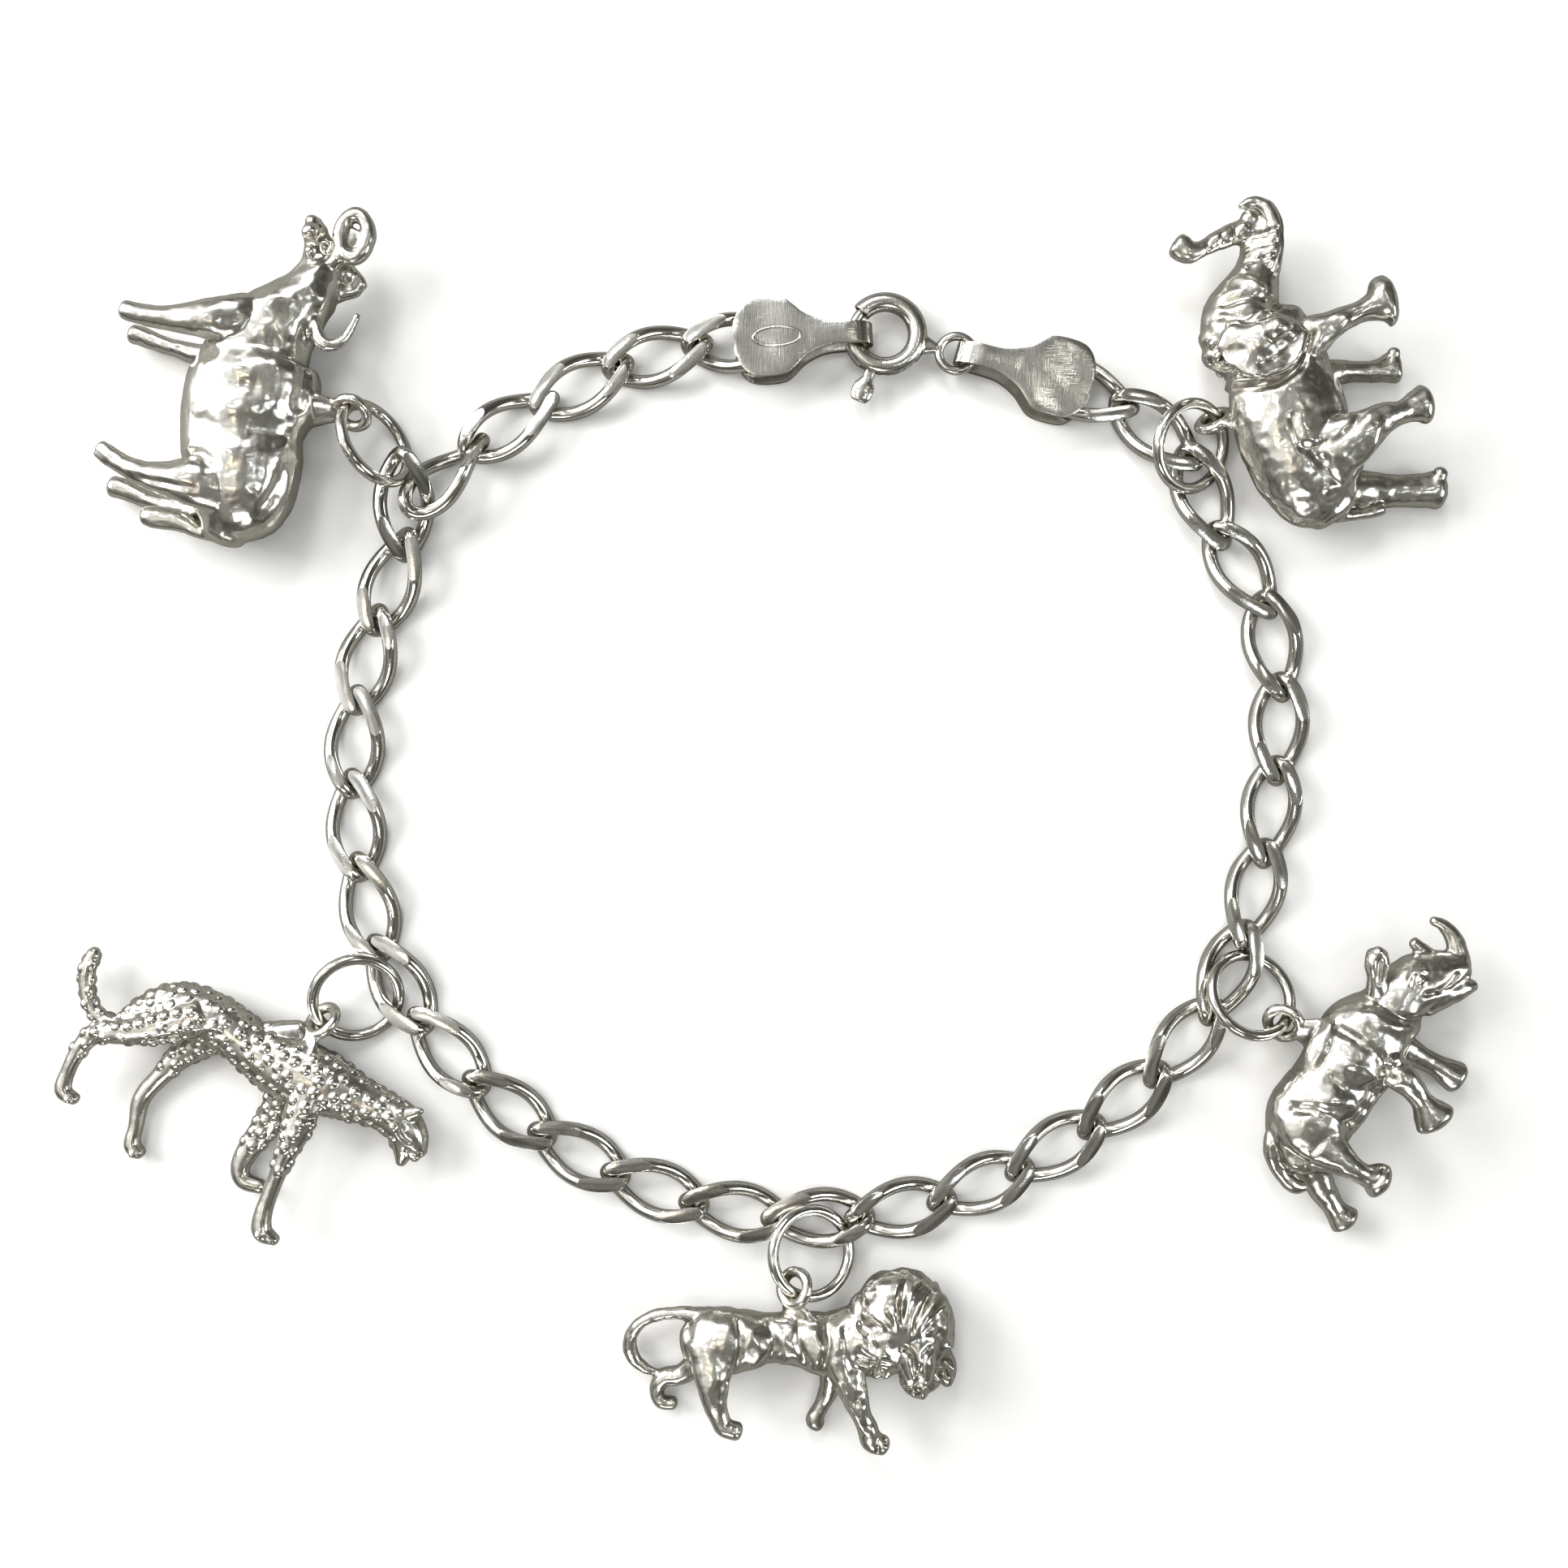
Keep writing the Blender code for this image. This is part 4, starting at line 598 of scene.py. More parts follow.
# Small balls of metal: along, up, out and radius, in shares of the length
Ball = namedtuple("Ball", "along up out radius")
BALLS = {
    "buffalo": (
        Ball(0.985, 0.500, 0.200, 0.026),
        Ball(1.018, 0.497, 0.185, 0.022),
        Ball(0.930, 0.505, 0.200, 0.016),
        Ball(0.905, 0.590, 0.105, 0.034),
    ),
    "elephant": (
        Ball(0.620, 0.715, 0.140, 0.052),
        Ball(0.570, 0.725, 0.140, 0.048),
        Ball(0.520, 0.722, 0.140, 0.044),
        Ball(0.505, 0.720, 0.180, 0.020),
        Ball(0.545, 0.740, 0.178, 0.016),
        Ball(0.600, 0.735, 0.182, 0.016),
        Ball(0.560, 0.575, 0.262, 0.052),
        Ball(0.760, 0.640, 0.185, 0.014),
        Ball(0.930, 0.610, 0.150, 0.026),
        Ball(0.900, 0.630, 0.160, 0.020),
        Ball(0.145, 0.028, 0.085, 0.022),
        Ball(0.525, 0.155, 0.070, 0.020),
    ),
    "rhinoceros": (
        Ball(0.868, 0.262, 0.188, 0.013),
        Ball(0.895, 0.400, 0.182, 0.018),
    ),
    "lion": (
        Ball(0.848, 0.268, 0.218, 0.018),
        Ball(0.878, 0.266, 0.218, 0.018),
        Ball(0.860, 0.242, 0.202, 0.016),
        Ball(0.790, 0.480, 0.190, 0.034),
        Ball(0.740, 0.500, 0.150, 0.040),
        Ball(0.880, 0.465, 0.170, 0.040),
        Ball(0.890, 0.390, 0.160, 0.042),
        Ball(0.905, 0.300, 0.130, 0.036),
    ),
    "cheetah": (
        Ball(0.905, 0.205, 0.112, 0.010),
        Ball(0.948, 0.152, 0.095, 0.014),
        Ball(0.655, -0.146, 0.130, 0.010),
        Ball(0.683, -0.148, 0.124, 0.010),
        Ball(0.105, 0.014, 0.124, 0.009),
        Ball(0.275, -0.086, 0.044, 0.010),
    ),
}

# Thick-rimmed oval dishes: middle, half height and half length of the rim, and its wire
Dish = namedtuple("Dish", "along up out tall wide wire")
DISHES = {"buffalo": (Dish(0.996, 0.620, 0.178, 0.040, 0.062, 0.024),)}

# Lines worked into the metal: points along and up, half width and height, below zero for a groove
Line = namedtuple("Line", "points width height")
LINES = {
    "buffalo": (
        Line(((0.33, 0.50), (0.325, 0.40), (0.32, 0.27)), 0.036, 0.006),
        Line(((0.395, 0.49), (0.375, 0.38), (0.395, 0.27)), 0.030, -0.007),
        Line(((0.46, 0.44), (0.445, 0.34), (0.45, 0.26)), 0.034, 0.006),
        Line(((0.525, 0.47), (0.505, 0.36), (0.50, 0.27)), 0.030, -0.005),
        Line(((0.585, 0.48), (0.565, 0.38), (0.56, 0.26)), 0.034, 0.006),
        Line(((0.645, 0.45), (0.625, 0.36), (0.61, 0.27)), 0.034, -0.012),
        Line(((0.48, 0.535), (0.58, 0.545), (0.68, 0.525), (0.76, 0.545)), 0.016, -0.012),
        Line(((0.16, 0.47), (0.24, 0.51), (0.33, 0.525)), 0.016, -0.010),
        Line(((0.79, 0.40), (0.86, 0.435), (0.90, 0.49)), 0.018, -0.012),
        Line(((0.75, 0.36), (0.79, 0.47), (0.80, 0.54)), 0.040, 0.012),
        Line(((0.96, 0.50), (0.98, 0.53), (1.00, 0.54)), 0.010, -0.012),
        Line(((0.90, 0.52), (0.93, 0.55), (0.95, 0.545)), 0.012, -0.012),
        Line(((0.20, 0.30), (0.205, 0.18), (0.215, 0.10)), 0.010, -0.008),
        Line(((0.28, 0.33), (0.30, 0.27), (0.27, 0.22)), 0.018, -0.010),
    ),
    "elephant": (
        Line(((0.44, 0.70), (0.425, 0.64), (0.435, 0.575), (0.47, 0.52), (0.55, 0.485)), 0.010, 0.016),
        Line(((0.50, 0.70), (0.475, 0.64), (0.475, 0.585), (0.51, 0.54)), 0.026, -0.016),
        Line(((0.62, 0.72), (0.595, 0.66), (0.61, 0.58), (0.62, 0.52)), 0.014, -0.016),
        Line(((0.66, 0.71), (0.67, 0.64), (0.655, 0.55)), 0.016, -0.014),
        Line(((0.70, 0.60), (0.73, 0.65), (0.74, 0.69)), 0.014, 0.010),
        Line(((0.55, 0.46), (0.60, 0.49), (0.66, 0.50)), 0.014, -0.016),
        Line(((0.09, 0.42), (0.11, 0.35), (0.19, 0.30), (0.27, 0.28)), 0.014, 0.010),
        Line(((0.21, 0.50), (0.22, 0.42), (0.26, 0.36), (0.33, 0.33)), 0.012, -0.010),
        Line(((0.32, 0.37), (0.42, 0.40), (0.52, 0.385), (0.59, 0.36)), 0.012, 0.012),
        Line(((0.34, 0.345), (0.43, 0.37), (0.53, 0.355)), 0.009, -0.010),
        Line(((0.41, 0.69), (0.40, 0.62), (0.415, 0.55), (0.46, 0.49), (0.54, 0.46)), 0.012, -0.016),
        Line(((0.30, 0.53), (0.22, 0.50), (0.17, 0.44)), 0.016, -0.010),
        Line(((0.79, 0.64), (0.80, 0.55)), 0.007, -0.008),
        Line(((0.83, 0.64), (0.84, 0.54)), 0.007, -0.008),
        Line(((0.87, 0.63), (0.88, 0.53)), 0.007, -0.008),
        Line(((0.85, 0.66), (0.93, 0.655)), 0.006, -0.008),
        Line(((0.84, 0.70), (0.91, 0.70)), 0.006, -0.008),
        Line(((0.82, 0.74), (0.88, 0.745)), 0.006, -0.008),
        Line(((0.76, 0.56), (0.82, 0.53), (0.90, 0.52), (0.96, 0.54)), 0.008, -0.010),
    ),
    "rhinoceros": (
        Line(((0.335, 0.485), (0.285, 0.43), (0.27, 0.36), (0.285, 0.29)), 0.012, -0.014),
        Line(((0.40, 0.46), (0.42, 0.38), (0.405, 0.29), (0.37, 0.24)), 0.018, -0.014),
        Line(((0.45, 0.40), (0.47, 0.33), (0.45, 0.27)), 0.022, 0.008),
        Line(((0.52, 0.39), (0.51, 0.33), (0.54, 0.27)), 0.018, -0.010),
        Line(((0.57, 0.40), (0.58, 0.33), (0.55, 0.25)), 0.014, 0.008),
        Line(((0.655, 0.42), (0.64, 0.35), (0.62, 0.29), (0.575, 0.25)), 0.016, -0.014),
        Line(((0.73, 0.37), (0.715, 0.29), (0.73, 0.20)), 0.020, 0.010),
        Line(((0.765, 0.34), (0.75, 0.27), (0.77, 0.19)), 0.012, -0.014),
        Line(((0.40, 0.26), (0.47, 0.25), (0.56, 0.23)), 0.016, 0.010),
        Line(((0.42, 0.29), (0.47, 0.28), (0.52, 0.27)), 0.010, -0.012),
        Line(((0.59, 0.27), (0.64, 0.22), (0.69, 0.20)), 0.012, -0.012),
        Line(((0.835, 0.23), (0.875, 0.165), (0.93, 0.125)), 0.008, -0.014),
        Line(((0.86, 0.20), (0.89, 0.175), (0.92, 0.165)), 0.008, -0.010),
        Line(((0.845, 0.29), (0.875, 0.285), (0.895, 0.26)), 0.008, 0.010),
        Line(((0.82, 0.366), (0.85, 0.380), (0.87, 0.388)), 0.010, -0.016),
        Line(((0.24, 0.21), (0.29, 0.18), (0.345, 0.165)), 0.008, -0.008),
    ),
    "lion": (
        Line(((0.335, 0.45), (0.350, 0.38), (0.335, 0.31), (0.31, 0.26)), 0.010, -0.014),
        Line(((0.375, 0.41), (0.40, 0.35), (0.385, 0.30)), 0.016, 0.008),
        Line(((0.43, 0.43), (0.445, 0.37), (0.425, 0.30)), 0.012, -0.012),
        Line(((0.475, 0.38), (0.485, 0.33), (0.47, 0.30)), 0.014, 0.008),
        Line(((0.52, 0.43), (0.515, 0.38), (0.535, 0.32)), 0.012, -0.012),
        Line(((0.565, 0.40), (0.58, 0.35), (0.565, 0.30)), 0.016, 0.008),
        Line(((0.60, 0.44), (0.605, 0.37), (0.595, 0.31), (0.625, 0.25)), 0.012, -0.016),
        Line(((0.655, 0.42), (0.66, 0.36), (0.68, 0.31)), 0.014, -0.010),
        Line(((0.64, 0.26), (0.68, 0.18), (0.71, 0.12)), 0.008, 0.008),
        Line(((0.70, 0.43), (0.735, 0.38), (0.745, 0.31), (0.77, 0.25)), 0.010, -0.016),
        Line(((0.826, 0.375), (0.846, 0.362), (0.854, 0.33), (0.860, 0.295)), 0.009, -0.016),
        Line(((0.900, 0.372), (0.884, 0.360), (0.878, 0.33), (0.872, 0.295)), 0.009, -0.016),
        Line(((0.838, 0.252), (0.862, 0.258), (0.888, 0.250)), 0.007, -0.014),
        Line(((0.750, 0.065), (0.750, 0.100)), 0.006, -0.010),
        Line(((0.335, 0.095), (0.333, 0.128)), 0.005, -0.008),
    ),
    "cheetah": (
        Line(((0.40, 0.285), (0.34, 0.262), (0.26, 0.222), (0.19, 0.190), (0.13, 0.165)), 0.007, -0.010),
        Line(((0.40, 0.300), (0.34, 0.280), (0.26, 0.240), (0.19, 0.205)), 0.006, 0.006),
        Line(((0.60, 0.20), (0.605, 0.15), (0.615, 0.10)), 0.006, -0.008),
        Line(((0.66, 0.16), (0.72, 0.175), (0.80, 0.185)), 0.006, -0.006),
        Line(((0.925, 0.165), (0.945, 0.160), (0.96, 0.165)), 0.004, -0.008),
        Line(((0.885, 0.215), (0.905, 0.192), (0.925, 0.185)), 0.005, -0.008),
    ),
}

# Rows of locks round a middle: inner and outer radius in shares, how many, and their height
Locks = namedtuple("Locks", "along up inner outer count height")
LOCKS = {
    "lion": (
        Locks(0.862, 0.340, 0.075, 0.300, 13, 0.014),
        Locks(0.862, 0.340, 0.100, 0.300, 23, 0.007),
    ),
}

# Finishes of the silver: which colour, size of its clouds and grain and depth of its hollows in
# millimetres, and how scratched, tarnished, rough and uneven it is
Finish = namedtuple("Finish", "colour clouds grain scratch tarnish roughness bump hollow")
FINISHES = {
    "polished_silver": Finish("polished", 1.6, 0.30, 0.5, 0.60, 0.09, 0.05, 0.5),
    "brushed_silver": Finish("polished", 2.4, 0.30, 1.0, 0.75, 0.10, 0.10, 0.8),
    "charm_silver": Finish("cast", 1.4, 0.55, 0.2, 0.66, 0.20, 0.10, 0.7),
    "spotted_silver": Finish("cast", 1.1, 0.55, 0.2, 0.75, 0.20, 0.10, 0.4),
}
GRAIN_DEPTH = 0.08

# Table, camera and room, in metres
TABLE_SIZE = 1.2
TABLE_DROP = 0.06 * MM
# The table's colour as the metal reflects it: painted shade, much darker than the table, which darkens
# the metal's flanks and edges where they mirror the table beside them
TABLE_PAINTED_SHADE_IN_METAL = (0.19, 0.187, 0.17)
CAMERA_AT = (0.00111, 0.00252, 0.110)
CAMERA_VIEW = 2 * math.atan(50.84 / 110)
WALL = (0.66, 0.66, 0.65, 1)
BRIGHT_SIDE = (-0.62, 0.35, 0.70)
# Shades of the room from its dark side to its window: place from 0 to 1, and colour
ROOM_SHADES = (
    (0.42, (0.090, 0.087, 0.075, 1)),
    (0.84, (0.18, 0.175, 0.155, 1)),
    (0.98, (0.80, 0.80, 0.78, 1)),
)

# Soft lights and small panes: name, place, size, power and colour
Light = namedtuple("Light", "name place size power colour")
LIGHTS = (
    Light("window", (-0.30, 0.14, 0.20), (0.24, 0.22), 1.75, (1.0, 0.99, 0.97)),
    Light("lamp", (-0.05, 0.26, 0.26), (0.10, 0.10), 0.40, (0.97, 0.98, 1.0)),
    Light("side_pane", (0.30, -0.06, 0.22), (0.10, 0.14), 0.35, (0.97, 0.99, 1.0)),
    Light("near_pane", (-0.04, -0.30, 0.24), (0.16, 0.05), 0.28, (1.0, 0.99, 0.97)),
    Light("pane_east", (0.135, 0.118, 0.42), (0.030, 0.030), 0.025, (1.0, 0.98, 0.90)),
    Light("pane_west", (-0.120, 0.092, 0.42), (0.045, 0.045), 0.05, (1.0, 1.0, 1.0)),
    Light("pane_low_east", (0.143, -0.038, 0.42), (0.045, 0.045), 0.05, (0.92, 0.97, 1.0)),
    Light("pane_low_west", (-0.120, -0.058, 0.42), (0.050, 0.050), 0.04, (1.0, 0.84, 0.62)),
    Light("room_glow", (-0.05, 0.03, 0.40), (0.60, 0.60), 0.6, (1.0, 1.0, 0.99)),
)


def select(*things):
    """Leaves only these things selected, the first of them active, in object mode."""
    if bpy.context.object and bpy.context.object.mode != "OBJECT":
        bpy.ops.object.mode_set(mode="OBJECT")
    bpy.ops.object.select_all(action="DESELECT")
    for thing in things:
        thing.select_set(True)
    if things:
        bpy.context.view_layer.objects.active = things[0]


def apply_modifiers(thing):
    """Fixes a thing's modifiers in its mesh, in their order."""
    select(thing)
    for modifier in list(thing.modifiers):
        bpy.ops.object.modifier_apply(modifier=modifier.name)


def add_modifier(thing, kind, **values):
    """Adds a modifier with these values."""
    modifier = thing.modifiers.new(kind.lower(), kind)
    for key, value in values.items():
        setattr(modifier, key, value)
    return modifier


def round_edges(thing, width, segments, degrees):
    """Rounds the edges that turn by more than an angle."""
    limit = {"limit_method": "ANGLE", "angle_limit": math.radians(degrees)}
    add_modifier(thing, "BEVEL", width=width, segments=segments, **limit)


def join(*things):
    """Makes several things one, without merging their surfaces."""
    select(*things)
    bpy.ops.object.join()
    return bpy.context.object


def combine(thing, tool, operation):
    """Cuts a tool out of a thing or joins it on, and clears the tool away."""
    add_modifier(thing, "BOOLEAN", operation=operation, solver="EXACT", object=tool)
    apply_modifiers(thing)
    bpy.data.objects.remove(tool, do_unlink=True)


def finish_piece(thing, name, body, material, nodes, sharp=None):
    """Brings a finished piece from millimetres to metres and puts it in its body's care."""
    select(thing)
    if sharp is None:
        bpy.ops.object.shade_smooth()
    else:
        bpy.ops.object.shade_smooth_by_angle(angle=math.radians(sharp))
    thing.scale = (MM, MM, MM)
    thing.location = thing.location * MM
    bpy.ops.object.transform_apply(location=True, rotation=True, scale=True)
    thing.name = name
    thing.data.name = name
    thing.data.materials.clear()
    thing.data.materials.append(material)
    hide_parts(*nodes)
    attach(thing, body)
    return thing


def heading(angle):
    """The level way at an angle from the x axis."""
    return Vector((math.cos(angle), math.sin(angle), 0))


def places_of(mesh):
    """The places of a mesh's points, a row each."""
    places = np.empty(len(mesh.vertices) * 3)
    mesh.vertices.foreach_get("co", places)
    return places.reshape(-1, 3)


def set_places(mesh, places):
    """Moves a mesh's points to these places."""
    mesh.vertices.foreach_set("co", np.ascontiguousarray(places, dtype=np.float32).ravel())
    mesh.update()


def like_nodes(start):
    """The frame's pieces whose names start alike, in order."""
    return sorted(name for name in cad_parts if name.startswith(start))


def frame_of(node):
    """Where a CAD piece lies, in millimetres: its middle, and its long, cross and short ways."""
    places = np.unique(np.round(places_of(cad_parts[node].data) / MM, 4), axis=0)
    middle = places.mean(0)
    _, ways = np.linalg.eigh(np.cov((places - middle).T))
    long, cross = ways[:, 2], ways[:, 1]
    short = np.cross(long, cross)
    place = Matrix((long, cross, short)).transposed().to_4x4()
    return Matrix.Translation(Vector(middle)) @ place


def spline(rows, steps):
    """Rows of numbers along a smooth curve through the given ones."""
    rows = np.array(rows, float)
    ends = np.vstack((2 * rows[0] - rows[1], rows, 2 * rows[-1] - rows[-2]))
    found = []
    for index in range(1, len(ends) - 2):
        a, b, c, d = ends[index - 1 : index + 3]
        for step in range(steps):
            t = step / steps
            bend = (2 * a - 5 * b + 4 * c - d) * t**2 + (3 * b - a - 3 * c + d) * t**3
            found.append(0.5 * (2 * b + (c - a) * t + bend))
    found.append(rows[-1])
    return np.array(found)


def drawn_ball(rings):
    """A ball whose rows of points are drawn out to rings, with its poles at their ends."""
    sides, rows = len(rings[0]), len(rings) + 1
    select()
    bpy.ops.mesh.primitive_uv_sphere_add(segments=sides, ring_count=rows, radius=1)
    thing = bpy.context.object
    places = places_of(thing.data)
    row = np.rint(np.arccos(np.clip(places[:, 2], -1, 1)) / math.pi * rows).astype(int)
    side = np.rint(np.arctan2(places[:, 1], places[:, 0]) / (2 * math.pi) * sides).astype(int) % sides
    rings = np.array(rings)
    moved = rings[np.clip(row - 1, 0, rows - 2), side]
    moved[row == 0] = rings[0].mean(0)
    moved[row == rows] = rings[-1].mean(0)
    set_places(thing.data, moved)
    return thing


def bent_ring(centre, bend, major_steps, minor_steps):
    """A ring primitive whose points go where bend says, by their turns round the ring and its wire."""
    select()
    bpy.ops.mesh.primitive_torus_add(
        major_segments=major_steps, minor_segments=minor_steps, major_radius=1, minor_radius=0.25
    )
    thing = bpy.context.object
    places = places_of(thing.data)
    turns = np.arctan2(places[:, 1], places[:, 0])
    rounds = np.arctan2(places[:, 2], np.hypot(places[:, 0], places[:, 1]) - 1)
    set_places(thing.data, np.array([bend(t, r) for t, r in zip(turns, rounds)]))
    thing.location = centre
    return thing


def round_ring(centre, radius, wire, major_steps, minor_steps):
    """A level ring of round wire."""

    def bend(turn, round_wire):
        out = (radius + wire / 2 * math.cos(round_wire)) * np.array(heading(turn))
        return out + np.array((0, 0, wire / 2 * math.sin(round_wire)))

    return bent_ring(centre, bend, major_steps, minor_steps)


def upright(path):
    """Unit ways along an open path, and across and over it."""
    path = np.array(path)
    ways = np.gradient(path, axis=0)
    ways /= np.linalg.norm(ways, axis=1)[:, None]
    across = np.cross(ways, UP)
    across /= np.linalg.norm(across, axis=1)[:, None]
    return ways, across, np.cross(across, ways)


def arc(radius, start, end, steps):
    """Points along a level arc round the origin."""
    return [np.array(heading(start + (end - start) * k / steps)) * radius for k in range(steps + 1)]


def rod(path, radius, sides=20):
    """A round rod with flat ends, along a path."""
    _, across, over = upright(path)
    rings = [[path[0] + 0.5 * radius * unit for unit in around(across[0], over[0], sides)]]
    for centre, a, o in zip(path, across, over):
        rings.append([centre + radius * unit for unit in around(a, o, sides)])
    rings.append([path[-1] + 0.5 * radius * unit for unit in around(across[-1], over[-1], sides)])
    return drawn_ball(rings)


def oval_bar(way, sections, sides):
    """A bar drawn through oval sections, straight out along a way."""
    rings = []
    for reach, wide, thick in sections:
        across, over = np.cross(way, UP) * wide, np.array(UP) * thick
        rings.append([way * reach + unit for unit in around(across, over, sides)])
    return drawn_ball(rings)


def around(across, over, sides):
    """Points of an oval round the origin."""
    return [
        math.cos(2 * math.pi * k / sides) * across + math.sin(2 * math.pi * k / sides) * over
        for k in range(sides)
    ]


# Materials


def new_group(name, inputs, outputs):
    """A group of shader nodes with named inputs and outputs."""
    group = bpy.data.node_groups.new(name, "ShaderNodeTree")
    for label, kind, value in inputs:
        socket = group.interface.new_socket(name=label, in_out="INPUT", socket_type=kind)
        if value is not None:
            socket.default_value = value
    for label, kind in outputs:
        group.interface.new_socket(name=label, in_out="OUTPUT", socket_type=kind)
    return group, group.nodes.new("NodeGroupInput"), group.nodes.new("NodeGroupOutput")


def math_node(tree, operation, first, second, clamp=False):
    """Works out one number from two."""
    node = tree.nodes.new("ShaderNodeMath")
    node.operation = operation
    node.use_clamp = clamp
    for socket, value in zip(node.inputs, (first, second)):
        if isinstance(value, bpy.types.NodeSocket):
            tree.links.new(value, socket)
        elif value is not None:
            socket.default_value = value
    return node.outputs[0]


def noise_node(tree, vector, scale, detail, roughness=0.5):
    """Soft cloudy noise over a surface."""
    node = tree.nodes.new("ShaderNodeTexNoise")
    tree.links.new(vector, node.inputs["Vector"])
    if isinstance(scale, bpy.types.NodeSocket):
        tree.links.new(scale, node.inputs["Scale"])
    else:
        node.inputs["Scale"].default_value = scale
    node.inputs["Detail"].default_value = detail
    node.inputs["Roughness"].default_value = roughness
    return node.outputs["Fac"]


def range_node(tree, value, low, high, to_low=0.0, to_high=1.0):
    """Brings a value from one range to another."""
    node = tree.nodes.new("ShaderNodeMapRange")
    tree.links.new(value, node.inputs["Value"])
    for label, number in (("From Min", low), ("From Max", high), ("To Min", to_low), ("To Max", to_high)):
        node.inputs[label].default_value = number
    return node.outputs["Result"]


def mix_node(tree, factor, first, second):
    """Mixes two colours."""
    node = tree.nodes.new("ShaderNodeMix")
    node.data_type = "RGBA"
    tree.links.new(factor, node.inputs["Factor"])
    for label, value in (("A", first), ("B", second)):
        if isinstance(value, bpy.types.NodeSocket):
            tree.links.new(value, node.inputs[label])
        else:
            node.inputs[label].default_value = (*value, 1)
    return node.outputs["Result"]


def wear_group():
    """Tarnish in hollows, clouds of handling, fine scratches and the grain of the metal."""
    group, given, made = new_group(
        "silver_wear",
        (
            ("Vector", "NodeSocketVector", None),
            ("Hollow", "NodeSocketFloat", 1.0),
            ("Cloud Scale", "NodeSocketFloat", 300.0),
            ("Grain Scale", "NodeSocketFloat", 4000.0),
            ("Scratch", "NodeSocketFloat", 0.5),
            ("Tarnish", "NodeSocketFloat", 0.5),
            ("Roughness", "NodeSocketFloat", 0.2),
        ),
        (
            ("Tarnish", "NodeSocketFloat"),
            ("Roughness", "NodeSocketFloat"),
            ("Height", "NodeSocketFloat"),
        ),
    )
    vector = given.outputs["Vector"]
    cloud = noise_node(group, vector, given.outputs["Cloud Scale"], 4, 0.6)
    grain = noise_node(group, vector, given.outputs["Grain Scale"], 3)
    streaks = []
    for turn, squeeze in ((25, (1, 14, 1)), (-50, (16, 1, 1))):
        mapping = group.nodes.new("ShaderNodeMapping")
        mapping.inputs["Rotation"].default_value = (0.3, 0.2, math.radians(turn))
        mapping.inputs["Scale"].default_value = squeeze
        group.links.new(vector, mapping.inputs["Vector"])
        streaks.append(noise_node(group, mapping.outputs[0], 900, 3))
    streak = math_node(group, "MULTIPLY", math_node(group, "ADD", *streaks), given.outputs["Scratch"])
    hollow = math_node(group, "SUBTRACT", 1.0, given.outputs["Hollow"])
    dull = math_node(group, "ADD", math_node(group, "MULTIPLY", hollow, 1.5), cloud)
    tarnished = range_node(group, dull, 0.48, 1.0)
    mask = math_node(group, "MULTIPLY", tarnished, given.outputs["Tarnish"], True)
    group.links.new(mask, made.inputs["Tarnish"])
    rough = math_node(group, "ADD", given.outputs["Roughness"], math_node(group, "MULTIPLY", mask, 0.12))
    rough = math_node(group, "ADD", rough, range_node(group, cloud, 0.35, 0.75, -0.03, 0.07))
    rough = math_node(group, "ADD", rough, math_node(group, "MULTIPLY", streak, 0.06), True)
    group.links.new(rough, made.inputs["Roughness"])
    height = math_node(group, "ADD", grain, streak)
    group.links.new(height, made.inputs["Height"])
    return group


def silver(name, finish, colour, tarnish):
    """Silver with tarnish in its hollows."""
    material = bpy.data.materials.new(name)
    material.use_nodes = True
    tree = material.node_tree
    shader = tree.nodes["Principled BSDF"]
    place = tree.nodes.new("ShaderNodeTexCoord").outputs["Object"]
    hollows = tree.nodes.new("ShaderNodeAmbientOcclusion")
    hollows.samples = 8
    hollows.inputs["Distance"].default_value = finish.hollow * MM
    wear = tree.nodes.new("ShaderNodeGroup")
    wear.node_tree = bpy.data.node_groups["silver_wear"]
    tree.links.new(place, wear.inputs["Vector"])
    tree.links.new(hollows.outputs["AO"], wear.inputs["Hollow"])
    wear.inputs["Cloud Scale"].default_value = 1 / (finish.clouds * MM)
    wear.inputs["Grain Scale"].default_value = 1 / (finish.grain * MM)
    wear.inputs["Scratch"].default_value = finish.scratch
    wear.inputs["Tarnish"].default_value = finish.tarnish
    wear.inputs["Roughness"].default_value = finish.roughness
    tree.links.new(mix_node(tree, wear.outputs["Tarnish"], colour, tarnish), shader.inputs["Base Color"])
    tree.links.new(wear.outputs["Roughness"], shader.inputs["Roughness"])
    shader.inputs["Metallic"].default_value = 1
    relief = tree.nodes.new("ShaderNodeBump")
    relief.inputs["Strength"].default_value = finish.bump
    relief.inputs["Distance"].default_value = GRAIN_DEPTH * MM
    tree.links.new(wear.outputs["Height"], relief.inputs["Height"])
    tree.links.new(relief.outputs["Normal"], shader.inputs["Normal"])
    return material


# Settings


